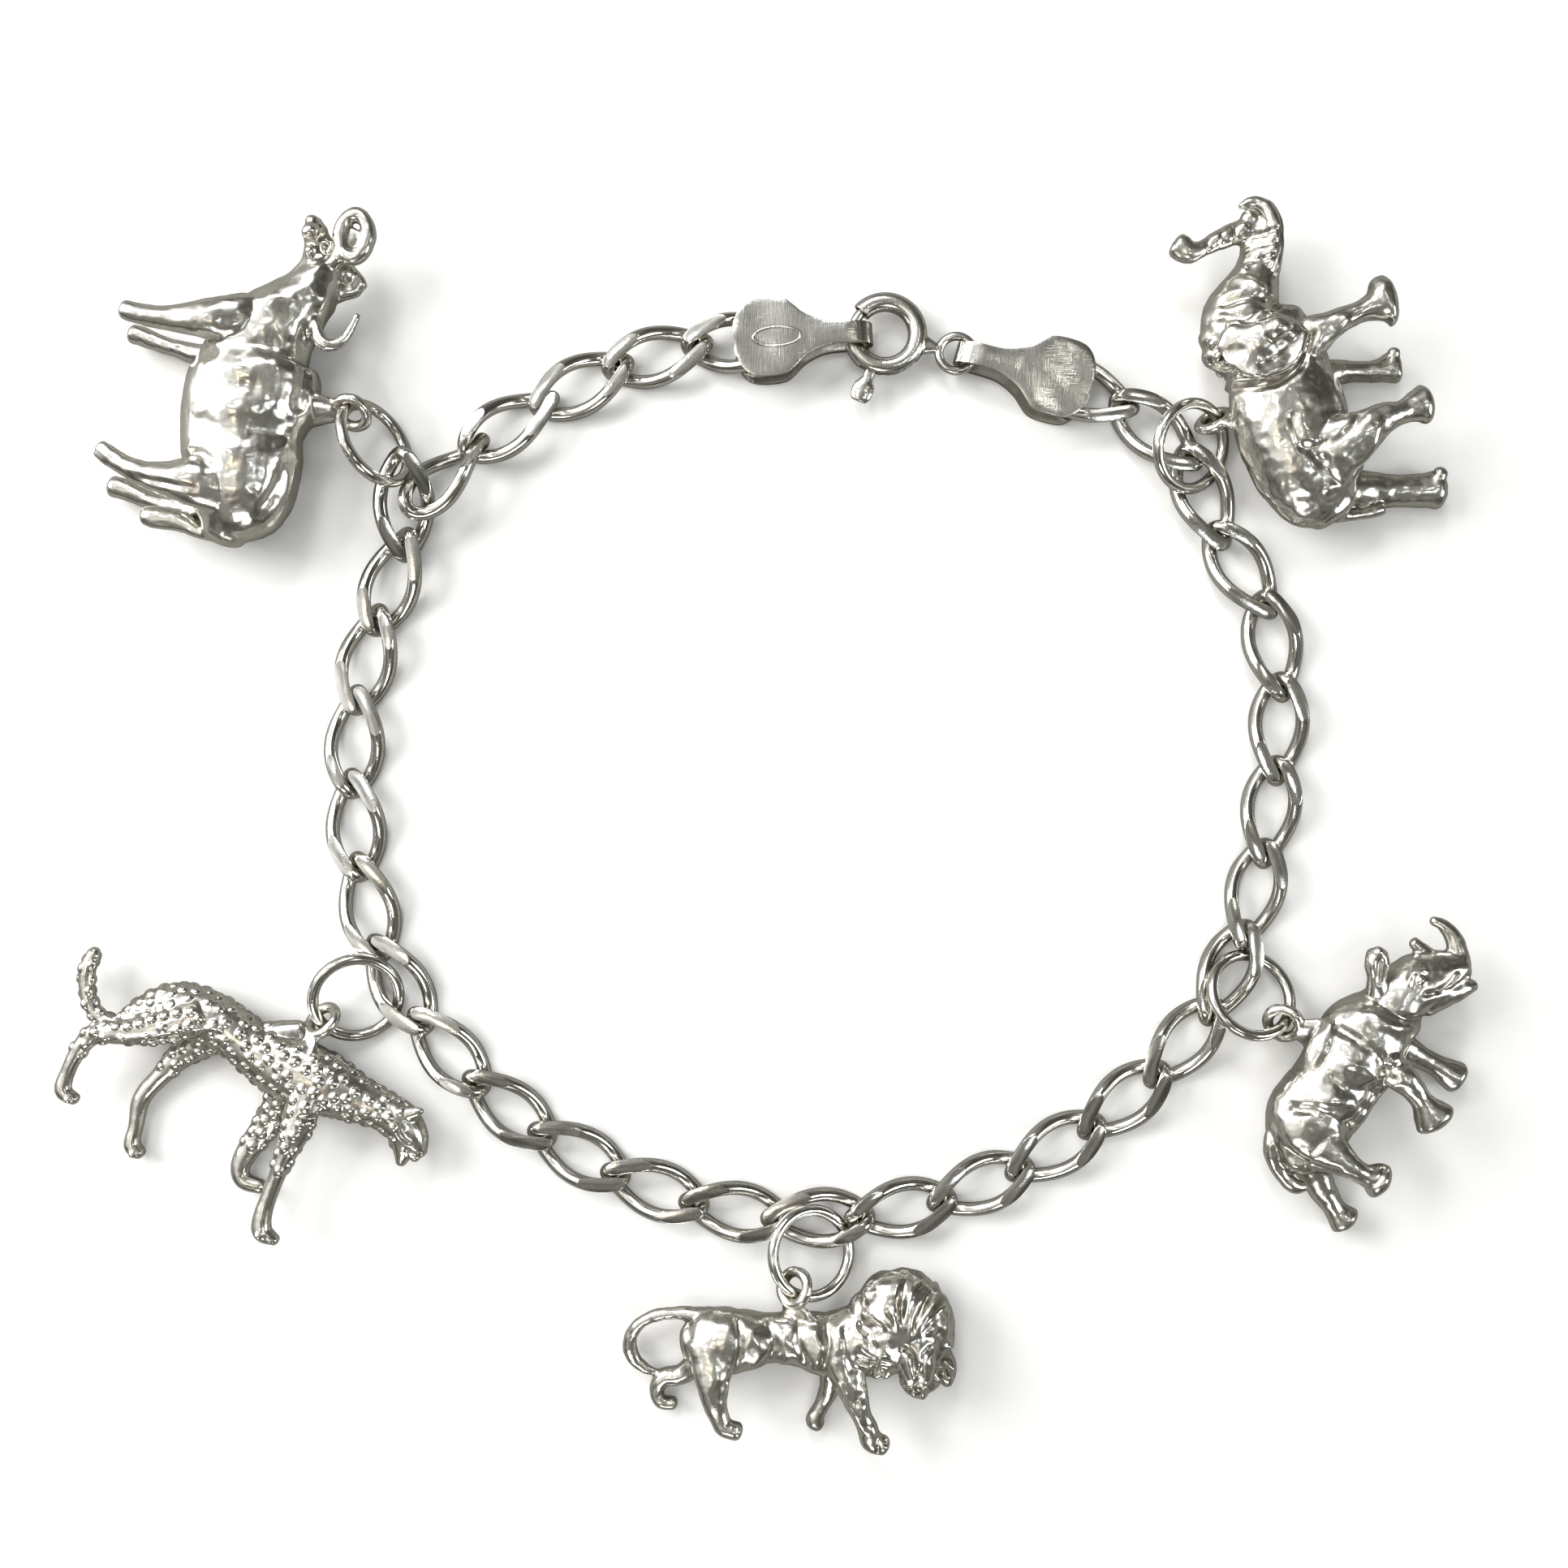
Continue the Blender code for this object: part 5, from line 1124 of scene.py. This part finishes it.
class BraceletSettings(bpy.types.PropertyGroup):
    """Sizes and colours of the bracelet's looks."""

    link_wire: FloatProperty(
        name="Link wire",
        description="Thickness of the chain's wire",
        default=0.90 * MM,
        unit="LENGTH",
    )
    ring_wire: FloatProperty(
        name="Ring wire",
        description="Thickness of the jump rings' wire",
        default=0.72 * MM,
        unit="LENGTH",
    )
    bail_wire: FloatProperty(
        name="Loop wire",
        description="Thickness of the charms' hanging loops",
        default=0.70 * MM,
        unit="LENGTH",
    )
    spot_size: FloatProperty(
        name="Spots",
        description="Radius of the cheetah's raised spots",
        default=0.31 * MM,
        unit="LENGTH",
    )
    polished: FloatVectorProperty(
        name="Polished silver",
        description="Colour of bright metal",
        subtype="COLOR",
        default=(0.86, 0.85, 0.82),
    )
    cast: FloatVectorProperty(
        name="Cast silver",
        description="Colour of the animals' metal",
        subtype="COLOR",
        default=(0.80, 0.785, 0.74),
    )
    tarnished: FloatVectorProperty(
        name="Tarnish",
        description="Colour of metal in the hollows",
        subtype="COLOR",
        default=(0.21, 0.185, 0.13),
    )
    floor: FloatVectorProperty(
        name="Table",
        description="Colour of the surface below",
        subtype="COLOR",
        default=(0.77, 0.77, 0.765),
    )


class BRACELET_OT_finishes(bpy.types.Operator):
    """Mix the silver finishes of the chain, the clasp and the castings"""

    bl_idname = "bracelet.finishes"
    bl_label = "Silver finishes"

    def execute(self, context):
        settings = context.scene.bracelet
        wear_group()
        for name, finish in FINISHES.items():
            silver(name, finish, tuple(getattr(settings, finish.colour)), tuple(settings.tarnished))
        return {"FINISHED"}


# Chain


def link_shape(wire, lean):
    """A twisted oval ring of wire, filed flat above and below with a slight lean."""
    along = (LINK_LENGTH - wire) / 2
    across = (LINK_WIDTH - wire) / 2

    def centre(turn):
        twist = LINK_TWIST * math.cos(turn)
        reach = across * math.sin(turn)
        return np.array((along * math.cos(turn), reach * math.cos(twist), -reach * math.sin(twist)))

    def bend(turn, round_wire):
        way = centre(turn + 1e-4) - centre(turn - 1e-4)
        way /= np.linalg.norm(way)
        side = np.cross(way, UP)
        side /= np.linalg.norm(side)
        over = np.cross(side, way)
        return centre(turn) + wire / 2 * (math.cos(round_wire) * side + math.sin(round_wire) * over)

    link = bent_ring((0, 0, 0), bend, LINK_STEPS, LINK_SIDES)
    for way in (1, -1):
        select(link)
        bpy.ops.object.mode_set(mode="EDIT")
        bpy.ops.mesh.select_all(action="SELECT")
        bpy.ops.mesh.bisect(
            plane_co=(0, 0, way * LINK_HALF_THICKNESS),
            plane_no=(*lean, way),
            use_fill=True,
            clear_outer=True,
        )
        bpy.ops.object.mode_set(mode="OBJECT")
    round_edges(link, LINK_ROUNDING, 2, 24)
    apply_modifiers(link)
    return link


class BRACELET_OT_chain(bpy.types.Operator):
    """Lay the chain's links where the frame has them"""

    bl_idname = "bracelet.chain"
    bl_label = "Curb chain"

    def execute(self, context):
        wire = context.scene.bracelet.link_wire / MM
        shapes = [link_shape(wire, lean) for lean in LINK_LEANS]
        material = bpy.data.materials["polished_silver"]
        for number, node in enumerate(like_nodes("link_")):
            shape = shapes[number * 3 % len(shapes)]
            link = shape.copy()
            link.data = shape.data.copy()
            context.collection.objects.link(link)
            link.data.transform(frame_of(node))
            finish_piece(link, node + "_wire", "bracelet", material, [node], 24)
        for shape in shapes:
            bpy.data.objects.remove(shape, do_unlink=True)
        return {"FINISHED"}


class BRACELET_OT_jump_rings(bpy.types.Operator):
    """Hang the charms' jump rings where the frame has them"""

    bl_idname = "bracelet.jump_rings"
    bl_label = "Jump rings"

    def execute(self, context):
        wire = context.scene.bracelet.ring_wire / MM
        material = bpy.data.materials["polished_silver"]
        for node in like_nodes("jump_ring_"):
            ring = round_ring((0, 0, 0), RING_RADIUS, wire, RING_STEPS, RING_SIDES)
            ring.data.transform(frame_of(node))
            finish_piece(ring, node + "_wire", "bracelet", material, [node])
        return {"FINISHED"}


# Tabs and clasp


def tab_shape():
    """A leaf of sheet folded over, with a hidden post between its leaves."""
    outline = spline(TAB_OUTLINE, 5)
    middle = TAB_HALF_GAP + TAB_SHEET / 2
    path = [(a * TAB_LENGTH, middle, w) for a, w in outline[::-1]]
    for step in range(1, TAB_FOLDS):
        angle = math.pi / 2 + math.pi * step / TAB_FOLDS
        path.append((middle * math.cos(angle), middle * math.sin(angle), TAB_OUTLINE[0][1]))
    path += [(a * TAB_LENGTH, -middle, w) for a, w in outline]
    across = 12
    select()
    bpy.ops.mesh.primitive_grid_add(x_subdivisions=len(path) - 1, y_subdivisions=across, size=2)
    tab = bpy.context.object
    places = places_of(tab.data)
    row = np.rint((places[:, 0] + 1) / 2 * (len(path) - 1)).astype(int)
    share = places[:, 1]
    moved = []
    for index, side in zip(row, share):
        along, height, width = path[index]
        dish = TAB_CROWN * (1 - side**2) if 0 < along and abs(height) > middle * 0.98 else 0
        moved.append((along, side * width * TAB_WIDTH / 2, height + math.copysign(dish, height)))
    set_places(tab.data, np.array(moved))
    add_modifier(tab, "SOLIDIFY", thickness=TAB_SHEET, offset=0, use_even_offset=True)
    round_edges(tab, TAB_ROUNDING, 3, 50)
    apply_modifiers(tab)
    places = places_of(tab.data)
    wide = places[:, 0] > 0.35 * TAB_LENGTH
    dent = np.sin(1.7 * places[:, 0] + 1.1 * places[:, 1]) * np.sin(1.3 * places[:, 1] + 0.6)
    dent *= wide * np.clip(places[:, 0] / TAB_LENGTH, 0, 1)
    places[:, 2] += TAB_DENT * np.sign(places[:, 2]) * dent
    set_places(tab.data, places)
    select()
    bpy.ops.mesh.primitive_cylinder_add(
        vertices=24, radius=TAB_POST / 2, depth=2 * middle, location=(TAB_POST_AT, 0, 0)
    )
    return join(tab, bpy.context.object)


def oval_rim(long, wide, wire):
    """The raised rim of a bare oval plate."""
    select()
    bpy.ops.mesh.primitive_torus_add(
        major_segments=64, minor_segments=12, major_radius=1, minor_radius=wire
    )
    rim = bpy.context.object
    places = places_of(rim.data)
    turns = np.arctan2(places[:, 1], places[:, 0])
    out = np.hypot(places[:, 0], places[:, 1]) - 1
    places[:, 0] = np.cos(turns) * (long + out)
    places[:, 1] = np.sin(turns) * (wide + out)
    set_places(rim.data, places)
    return rim


class BRACELET_OT_tabs(bpy.types.Operator):
    """Fold the two leaf tabs round the clasp's ring and eye"""

    bl_idname = "bracelet.tabs"
    bl_label = "Leaf tabs"

    def execute(self, context):
        eye = CLASP_AT + heading(EYE_ANGLE) * EYE_REACH
        for name, angle in TAB_HEADINGS.items():
            middle, hole = TAB_HOLES[name]
            middle = middle or eye
            half_width = TAB_OUTLINE[0][1] * TAB_WIDTH / 2
            reach = math.sqrt(hole**2 - half_width**2) - TAB_FOLD_CLEARANCE + TAB_HALF_GAP
            fold = Vector((middle.x, middle.y, TAB_HALF_GAP + TAB_SHEET)) + heading(angle) * reach
            tab = tab_shape()
            if name == "tab_left":
                rim = oval_rim(PLATE_LONG, PLATE_WIDE, PLATE_RIM)
                rim.location = (*PLATE_AT, TAB_HALF_GAP + TAB_SHEET + 0.03)
                tab = join(tab, rim)
            tab.data.transform(Matrix.Translation(fold) @ Matrix.Rotation(angle, 4, "Z"))
            material = bpy.data.materials["brushed_silver"]
            finish_piece(tab, name + "_leaf", "bracelet", material, [name], 35)
        return {"FINISHED"}


class BRACELET_OT_clasp(bpy.types.Operator):
    """Build the clasp's hollow ring with its eye, and the bolt that turns in it"""

    bl_idname = "bracelet.clasp"
    bl_label = "Bolt ring clasp"

    def execute(self, context):
        material = bpy.data.materials["brushed_silver"]
        past = math.radians(6)
        ring = rod(arc(CLASP_RADIUS, GAP_END, GAP_START + 2 * math.pi, 90), CLASP_TUBE / 2, 32)
        for start, end in ((GAP_END - past, SLOT_END), (GAP_START - SOCKET_DEPTH, GAP_START + past)):
            combine(ring, rod(arc(CLASP_RADIUS, start, end, 50), CLASP_BORE / 2, 24), "DIFFERENCE")
        slot = []
        for way in arc(1, SLOT_START, SLOT_END, 40):
            inner, outer = way * CLASP_RADIUS, way * (CLASP_RADIUS + CLASP_TUBE)
            half = np.array(UP) * SLOT_WIDTH / 2
            slot.append([inner - half, outer - half, outer + half, inner + half])
        combine(ring, drawn_ball(slot), "DIFFERENCE")
        way = np.array(heading(EYE_ANGLE))
        combine(ring, oval_bar(way, NECK, 20), "UNION")
        combine(ring, round_ring(Vector(way) * EYE_REACH, EYE_RADIUS, EYE_WIRE, 72, 20), "UNION")
        add_modifier(ring, "REMESH", mode="VOXEL", voxel_size=CLASP_GRAIN)
        add_modifier(ring, "SMOOTH", factor=0.5, iterations=4)
        apply_modifiers(ring)
        ring.location = CLASP_AT
        finish_piece(ring, "clasp_ring_tube", "bracelet", material, ["clasp_ring"])

        path = arc(CLASP_RADIUS, GAP_START - BOLT_REACH, LEVER_ANGLE + math.radians(3), 60)
        bolt = rod(path, BOLT_RADIUS, 24)
        edge = CLASP_RADIUS + CLASP_TUBE / 2
        sections = [row._replace(reach=edge + row.reach * LEVER_REACH) for row in LEVER]
        combine(bolt, oval_bar(np.array(heading(LEVER_ANGLE)), sections, 24), "UNION")
        add_modifier(bolt, "REMESH", mode="VOXEL", voxel_size=BOLT_GRAIN)
        add_modifier(bolt, "SMOOTH", factor=0.5, iterations=3)
        apply_modifiers(bolt)
        bolt.location = CLASP_AT
        finish_piece(bolt, "clasp_bolt_lever", "bolt", material, ["clasp_bolt"])
        return {"FINISHED"}


# Charms


class Pose:
    """How an animal lies: turns shares of its length into places, and back."""

    def __init__(self, animal):
        self.length = animal.length
        self.corner = np.array((*animal.at, 0.0))
        self.way = np.array(heading(math.radians(animal.heading)))
        up = np.array(UP)
        self.rise = np.cross(up, self.way) if animal.right_side_down else np.cross(self.way, up)

    def place(self, along, up, out):
        return self.corner + (along * self.way + up * self.rise + out * np.array(UP)) * self.length

    def shares(self, places):
        moved = (places - self.corner) / self.length
        return np.stack((moved @ self.way, moved @ self.rise), 1)


def form_rings(pose, cuts):
    """Oval rings through a form's cuts, closed at both ends by rounder and smaller ones."""
    rows = spline(cuts, CUT_STEPS)
    middles = np.array([pose.place(*row[:3]) for row in rows])
    _, across, over = upright(middles)
    rings = []
    for middle, a, o, row in zip(middles, across, over, rows):
        tall, thick = row[3:] * pose.length * CAST_FULLNESS
        rings.append([middle + unit for unit in around(a * tall, o * thick, CAST_SIDES)])
    capped = [list(ring) for ring in rings]
    for end, inside in ((0, 1), (-1, -2)):
        out = middles[end] - middles[inside]
        out /= np.linalg.norm(out)
        bulge = 0.6 * min(rows[end][3:]) * pose.length
        for step in range(1, CAP_STEPS + 1):
            angle = math.pi / 2 * step / (CAP_STEPS + 0.4)
            ring = [
                middles[end] + (point - middles[end]) * math.cos(angle) + out * bulge * math.sin(angle)
                for point in rings[end]
            ]
            capped.insert(0 if end == 0 else len(capped), ring)
    return capped


def hanging_loop(pose, loop, root, wire):
    """A charm's loop of wire, and the bar that roots it in the animal's back."""
    middle = np.array(loop.at)
    flat = heading(math.radians(loop.rises))
    tilt = math.radians(loop.tilt)
    rise = np.array(flat * math.cos(tilt) + UP * math.sin(tilt))
    across = np.array(UP.cross(flat))
    square = np.cross(rise, across)

    def bend(turn, round_wire):
        out = math.cos(turn) * rise + math.sin(turn) * across
        return out * BAIL_RADIUS + wire / 2 * (math.cos(round_wire) * out + math.sin(round_wire) * square)

    ring = bent_ring(middle, bend, 64, 16)
    base = pose.place(*root)
    way = base - middle
    foot = rise * (way @ rise) + across * (way @ across)
    foot = middle + foot / np.linalg.norm(foot) * BAIL_RADIUS
    side = np.cross(square, base - foot)
    side /= np.linalg.norm(side)
    rings = []
    for share, wide, thick in ((0, 1.1, 0.5), (0.3, 1.5, 0.52), (0.65, 1.8, 0.7), (1, 2.1, 1.1)):
        centre = foot + (base - foot) * share
        rings.append([centre + unit * wire for unit in around(side * wide, square * thick, 16)])
    return [ring, drawn_ball(rings)]


def ear_dish(pose, dish):
    """An oval dish with a thick rim, open towards the viewer."""
    up = np.array(UP)

    def bend(turn, round_wire):
        out = math.cos(turn) * dish.tall * pose.rise + math.sin(turn) * dish.wide * pose.way
        way = out / np.linalg.norm(out)
        return (out + dish.wire * (math.cos(round_wire) * way + math.sin(round_wire) * up)) * pose.length

    return bent_ring(pose.place(*dish[:3]), bend, 48, 16)


def nearest(shares, points):
    """How far each place is from a line of points, in shares."""
    path = spline(points, 6)
    found = np.full(len(shares), 9.0)
    for start, end in zip(path, path[1:]):
        way = end - start
        t = np.clip((shares - start) @ way / (way @ way), 0, 1)
        found = np.minimum(found, np.linalg.norm(shares - start - t[:, None] * way, axis=1))
    return found


def normals_of(mesh):
    """The ways in which a mesh's points face, a row each."""
    found = np.empty(len(mesh.vertices) * 3)
    mesh.vertices.foreach_get("normal", found)
    return found.reshape(-1, 3)


def work_lines(thing, pose, lines, locks):
    """Presses grooves, ridges and locks into the metal."""
    places, normals = places_of(thing.data), normals_of(thing.data)
    shares = pose.shares(places)
    lift = np.zeros(len(places))
    for number, line in enumerate(lines):
        broken = 0.7 + 0.3 * np.sin(38 * shares @ (0.5, 1.0) + 2.3 * number)
        lift += line.height * broken * np.exp(-((nearest(shares, line.points) / line.width) ** 2))
    for lock in locks:
        away = shares - np.array((lock.along, lock.up))
        radius = np.hypot(*away.T)
        turn = np.arctan2(away[:, 1], away[:, 0])
        reach = radius / lock.outer
        wave = np.sin(lock.count * turn + 7 * reach + 2.5 * np.sin(3 * turn + 4 * reach))
        edge = np.clip((radius - lock.inner) / 0.03, 0, 1) * np.clip((lock.outer - radius) / 0.04, 0, 1)
        wave *= 0.45 + 0.55 * np.sin(17 * reach + 5 * turn + 2 * np.sin(4 * turn))
        lift += lock.height * wave * edge * np.clip((shares[:, 0] - 0.68) / 0.05, 0, 1)
    facing = np.clip(np.abs(normals[:, 2]) * 1.6, 0.15, 1)
    set_places(thing.data, places + normals * (lift * facing * pose.length)[:, None])


def raise_spots(thing, pose, radius, spacing, height):
    """Grains of metal spread evenly over the body, clear of the face and the lower legs."""
    places, normals = places_of(thing.data), normals_of(thing.data)
    shares = pose.shares(places)
    along, up = shares.T
    face = along > 0.885
    front_legs = (along > 0.50) & (up < 0.02)
    hind_legs = (along < 0.50) & (along > 0.05) & (up < 0.13)
    loop = (up > 0.32) & (along > 0.5)
    bare = face | front_legs | hind_legs | loop
    order = list(np.nonzero(~bare)[0])
    random.Random(11).shuffle(order)
    free = np.ones(len(places), bool)
    tree = KDTree(len(places))
    for index, place in enumerate(places):
        tree.insert(place, index)
    tree.balance()
    lift = np.zeros(len(places))
    for index in order:
        if not free[index]:
            continue
        for _, near, distance in tree.find_range(places[index], spacing):
            free[near] = False
            if distance < radius:
                lift[near] = max(lift[near], height * math.sqrt(1 - (distance / radius) ** 2))
    set_places(thing.data, places + normals * lift[:, None])


def cast_animal(name, wire, spot):
    """One solid casting of an animal, with its hanging loop."""
    animal = ANIMALS[name]
    pose = Pose(animal)
    parts = [drawn_ball(form_rings(pose, cuts)) for cuts in FORMS[name].values()]
    for ball in BALLS[name]:
        select()
        bpy.ops.mesh.primitive_ico_sphere_add(
            subdivisions=3, radius=ball.radius * pose.length, location=pose.place(*ball[:3])
        )
        parts.append(bpy.context.object)
    parts += [ear_dish(pose, dish) for dish in DISHES.get(name, ())]
    parts += hanging_loop(pose, LOOPS[name], animal.root, wire)
    body = join(*parts)
    select(body)
    bpy.ops.object.transform_apply(location=True, rotation=True, scale=True)
    add_modifier(body, "REMESH", mode="VOXEL", voxel_size=animal.voxel)
    add_modifier(body, "SMOOTH", factor=0.5, iterations=8)
    apply_modifiers(body)
    work_lines(body, pose, LINES[name], LOCKS.get(name, ()))
    if name == "cheetah":
        raise_spots(body, pose, spot, SPOT_SPACING * spot, SPOT_HEIGHT)
    for size, strength in ((COARSE_LUMP, animal.lumps), (FINE_LUMP, 0.25 * animal.lumps)):
        texture = bpy.data.textures.new(f"{name}_lumps_{size}", "CLOUDS")
        texture.noise_scale = size
        texture.noise_depth = 1
        add_modifier(body, "DISPLACE", texture=texture, strength=strength, texture_coords="LOCAL")
    apply_modifiers(body)
    return body


class BRACELET_OT_charms(bpy.types.Operator):
    """Cast the five animals with their hanging loops"""

    bl_idname = "bracelet.charms"
    bl_label = "Cast animals"

    def execute(self, context):
        settings = context.scene.bracelet
        for name in ANIMALS:
            material = bpy.data.materials["spotted_silver" if name == "cheetah" else "charm_silver"]
            body = cast_animal(name, settings.bail_wire / MM, settings.spot_size / MM)
            node = "charm_" + name
            finish_piece(body, node + "_casting", "bracelet", material, [node])
        return {"FINISHED"}


# Stage


def area_light(name, place, size, power, colour):
    """A soft rectangular light turned to the middle of the table."""
    data = bpy.data.lights.new(name, "AREA")
    data.shape = "RECTANGLE"
    data.size, data.size_y = size
    data.energy = power
    data.color = colour
    light = bpy.data.objects.new(name, data)
    light.location = place
    light.rotation_euler = (-Vector(place)).to_track_quat("-Z", "Y").to_euler()
    bpy.context.scene.collection.objects.link(light)
    return light


def pale_table(colour):
    """A pale matt table, which the metal reflects in a painted darker colour: painted shade on the
    metal's flanks and edges.
    """
    material = bpy.data.materials.new("pale_table")
    material.use_nodes = True
    tree = material.node_tree
    shader = tree.nodes["Principled BSDF"]
    shader.inputs["Roughness"].default_value = 0.8
    shader.inputs["Specular IOR Level"].default_value = 0.2
    grain = noise_node(tree, tree.nodes.new("ShaderNodeTexCoord").outputs["Object"], 900, 4)
    paper = mix_node(tree, range_node(tree, grain, 0.3, 0.7), colour, [0.985 * c for c in colour])
    # Rays mirrored off the metal see the table in a darker colour: painted shade that darkens the metal's
    # flanks and edges
    painted_shade_in_reflections = tree.nodes.new("ShaderNodeLightPath").outputs["Is Glossy Ray"]
    tree.links.new(mix_node(tree, painted_shade_in_reflections, paper, TABLE_PAINTED_SHADE_IN_METAL), shader.inputs["Base Color"])
    return material


def room_world():
    """A dim room, brighter towards its window, with plain pale walls where they are seen."""
    world = bpy.data.worlds.new("room")
    world.use_nodes = True
    tree = world.node_tree
    background = tree.nodes["Background"]
    ways = tree.nodes.new("ShaderNodeTexCoord").outputs["Generated"]
    slant = tree.nodes.new("ShaderNodeVectorMath")
    slant.operation = "DOT_PRODUCT"
    tree.links.new(ways, slant.inputs[0])
    slant.inputs[1].default_value = BRIGHT_SIDE
    ramp = tree.nodes.new("ShaderNodeValToRGB")
    tree.links.new(range_node(tree, slant.outputs["Value"], -1, 1), ramp.inputs["Fac"])
    shades = ramp.color_ramp.elements
    shades.new(ROOM_SHADES[1][0])
    for shade, (position, colour) in zip(shades, ROOM_SHADES):
        shade.position = position
        shade.color = colour
    tree.links.new(ramp.outputs["Color"], background.inputs["Color"])
    clutter = range_node(tree, noise_node(tree, ways, 3.2, 3), 0.40, 0.60, 0.4, 1.6)
    tree.links.new(clutter, background.inputs["Strength"])
    wall = tree.nodes.new("ShaderNodeBackground")
    wall.inputs["Color"].default_value = WALL
    room = tree.nodes.new("ShaderNodeMixShader")
    tree.links.new(tree.nodes.new("ShaderNodeLightPath").outputs["Is Camera Ray"], room.inputs["Fac"])
    tree.links.new(background.outputs["Background"], room.inputs[1])
    tree.links.new(wall.outputs["Background"], room.inputs[2])
    tree.links.new(room.outputs["Shader"], tree.nodes["World Output"].inputs["Surface"])
    return world


class BRACELET_OT_stage(bpy.types.Operator):
    """Set the pale table, the soft window light and the camera"""

    bl_idname = "bracelet.stage"
    bl_label = "Table, light and camera"

    def execute(self, context):
        select()
        bpy.ops.mesh.primitive_plane_add(size=TABLE_SIZE, location=(0, 0, -TABLE_DROP))
        table = context.object
        table.name = "table_top"
        table.data.materials.append(pale_table(context.scene.bracelet.floor))

        camera = bpy.data.objects.new("camera", bpy.data.cameras.new("camera"))
        context.scene.collection.objects.link(camera)
        camera.location = CAMERA_AT
        camera.data.angle = CAMERA_VIEW
        camera.data.clip_start = 1 * MM
        context.scene.camera = camera

        for row in LIGHTS:
            light = area_light(*row)
            light.visible_glossy = light.name != "room_glow"
        context.scene.world = room_world()
        context.scene.view_settings.view_transform = "Standard"
        return {"FINISHED"}


class BRACELET_PT_panel(bpy.types.Panel):
    """Lists the bracelet's pieces and their settings"""

    bl_idname = "BRACELET_PT_panel"
    bl_label = "Charm bracelet"
    bl_space_type = "VIEW_3D"
    bl_region_type = "UI"
    bl_category = "Bracelet"

    def draw(self, context):
        for key in BraceletSettings.__annotations__:
            self.layout.prop(context.scene.bracelet, key)
        for operator in OPERATORS:
            self.layout.operator(operator.bl_idname)


OPERATORS = (
    BRACELET_OT_finishes,
    BRACELET_OT_chain,
    BRACELET_OT_jump_rings,
    BRACELET_OT_tabs,
    BRACELET_OT_clasp,
    BRACELET_OT_charms,
    BRACELET_OT_stage,
)
CLASSES = (BraceletSettings, *OPERATORS, BRACELET_PT_panel)


def register():
    """Makes the operators, the settings and the panel known."""
    for made in CLASSES:
        bpy.utils.register_class(made)
    bpy.types.Scene.bracelet = PointerProperty(type=BraceletSettings)


def unregister():
    """Takes them away again."""
    del bpy.types.Scene.bracelet
    for made in reversed(CLASSES):
        bpy.utils.unregister_class(made)


def main():
    """Makes every piece in order."""
    register()
    for operator in OPERATORS:
        name = operator.bl_idname.split(".")[1]
        getattr(bpy.ops.bracelet, name)()


if __name__ == "__main__":
    main()
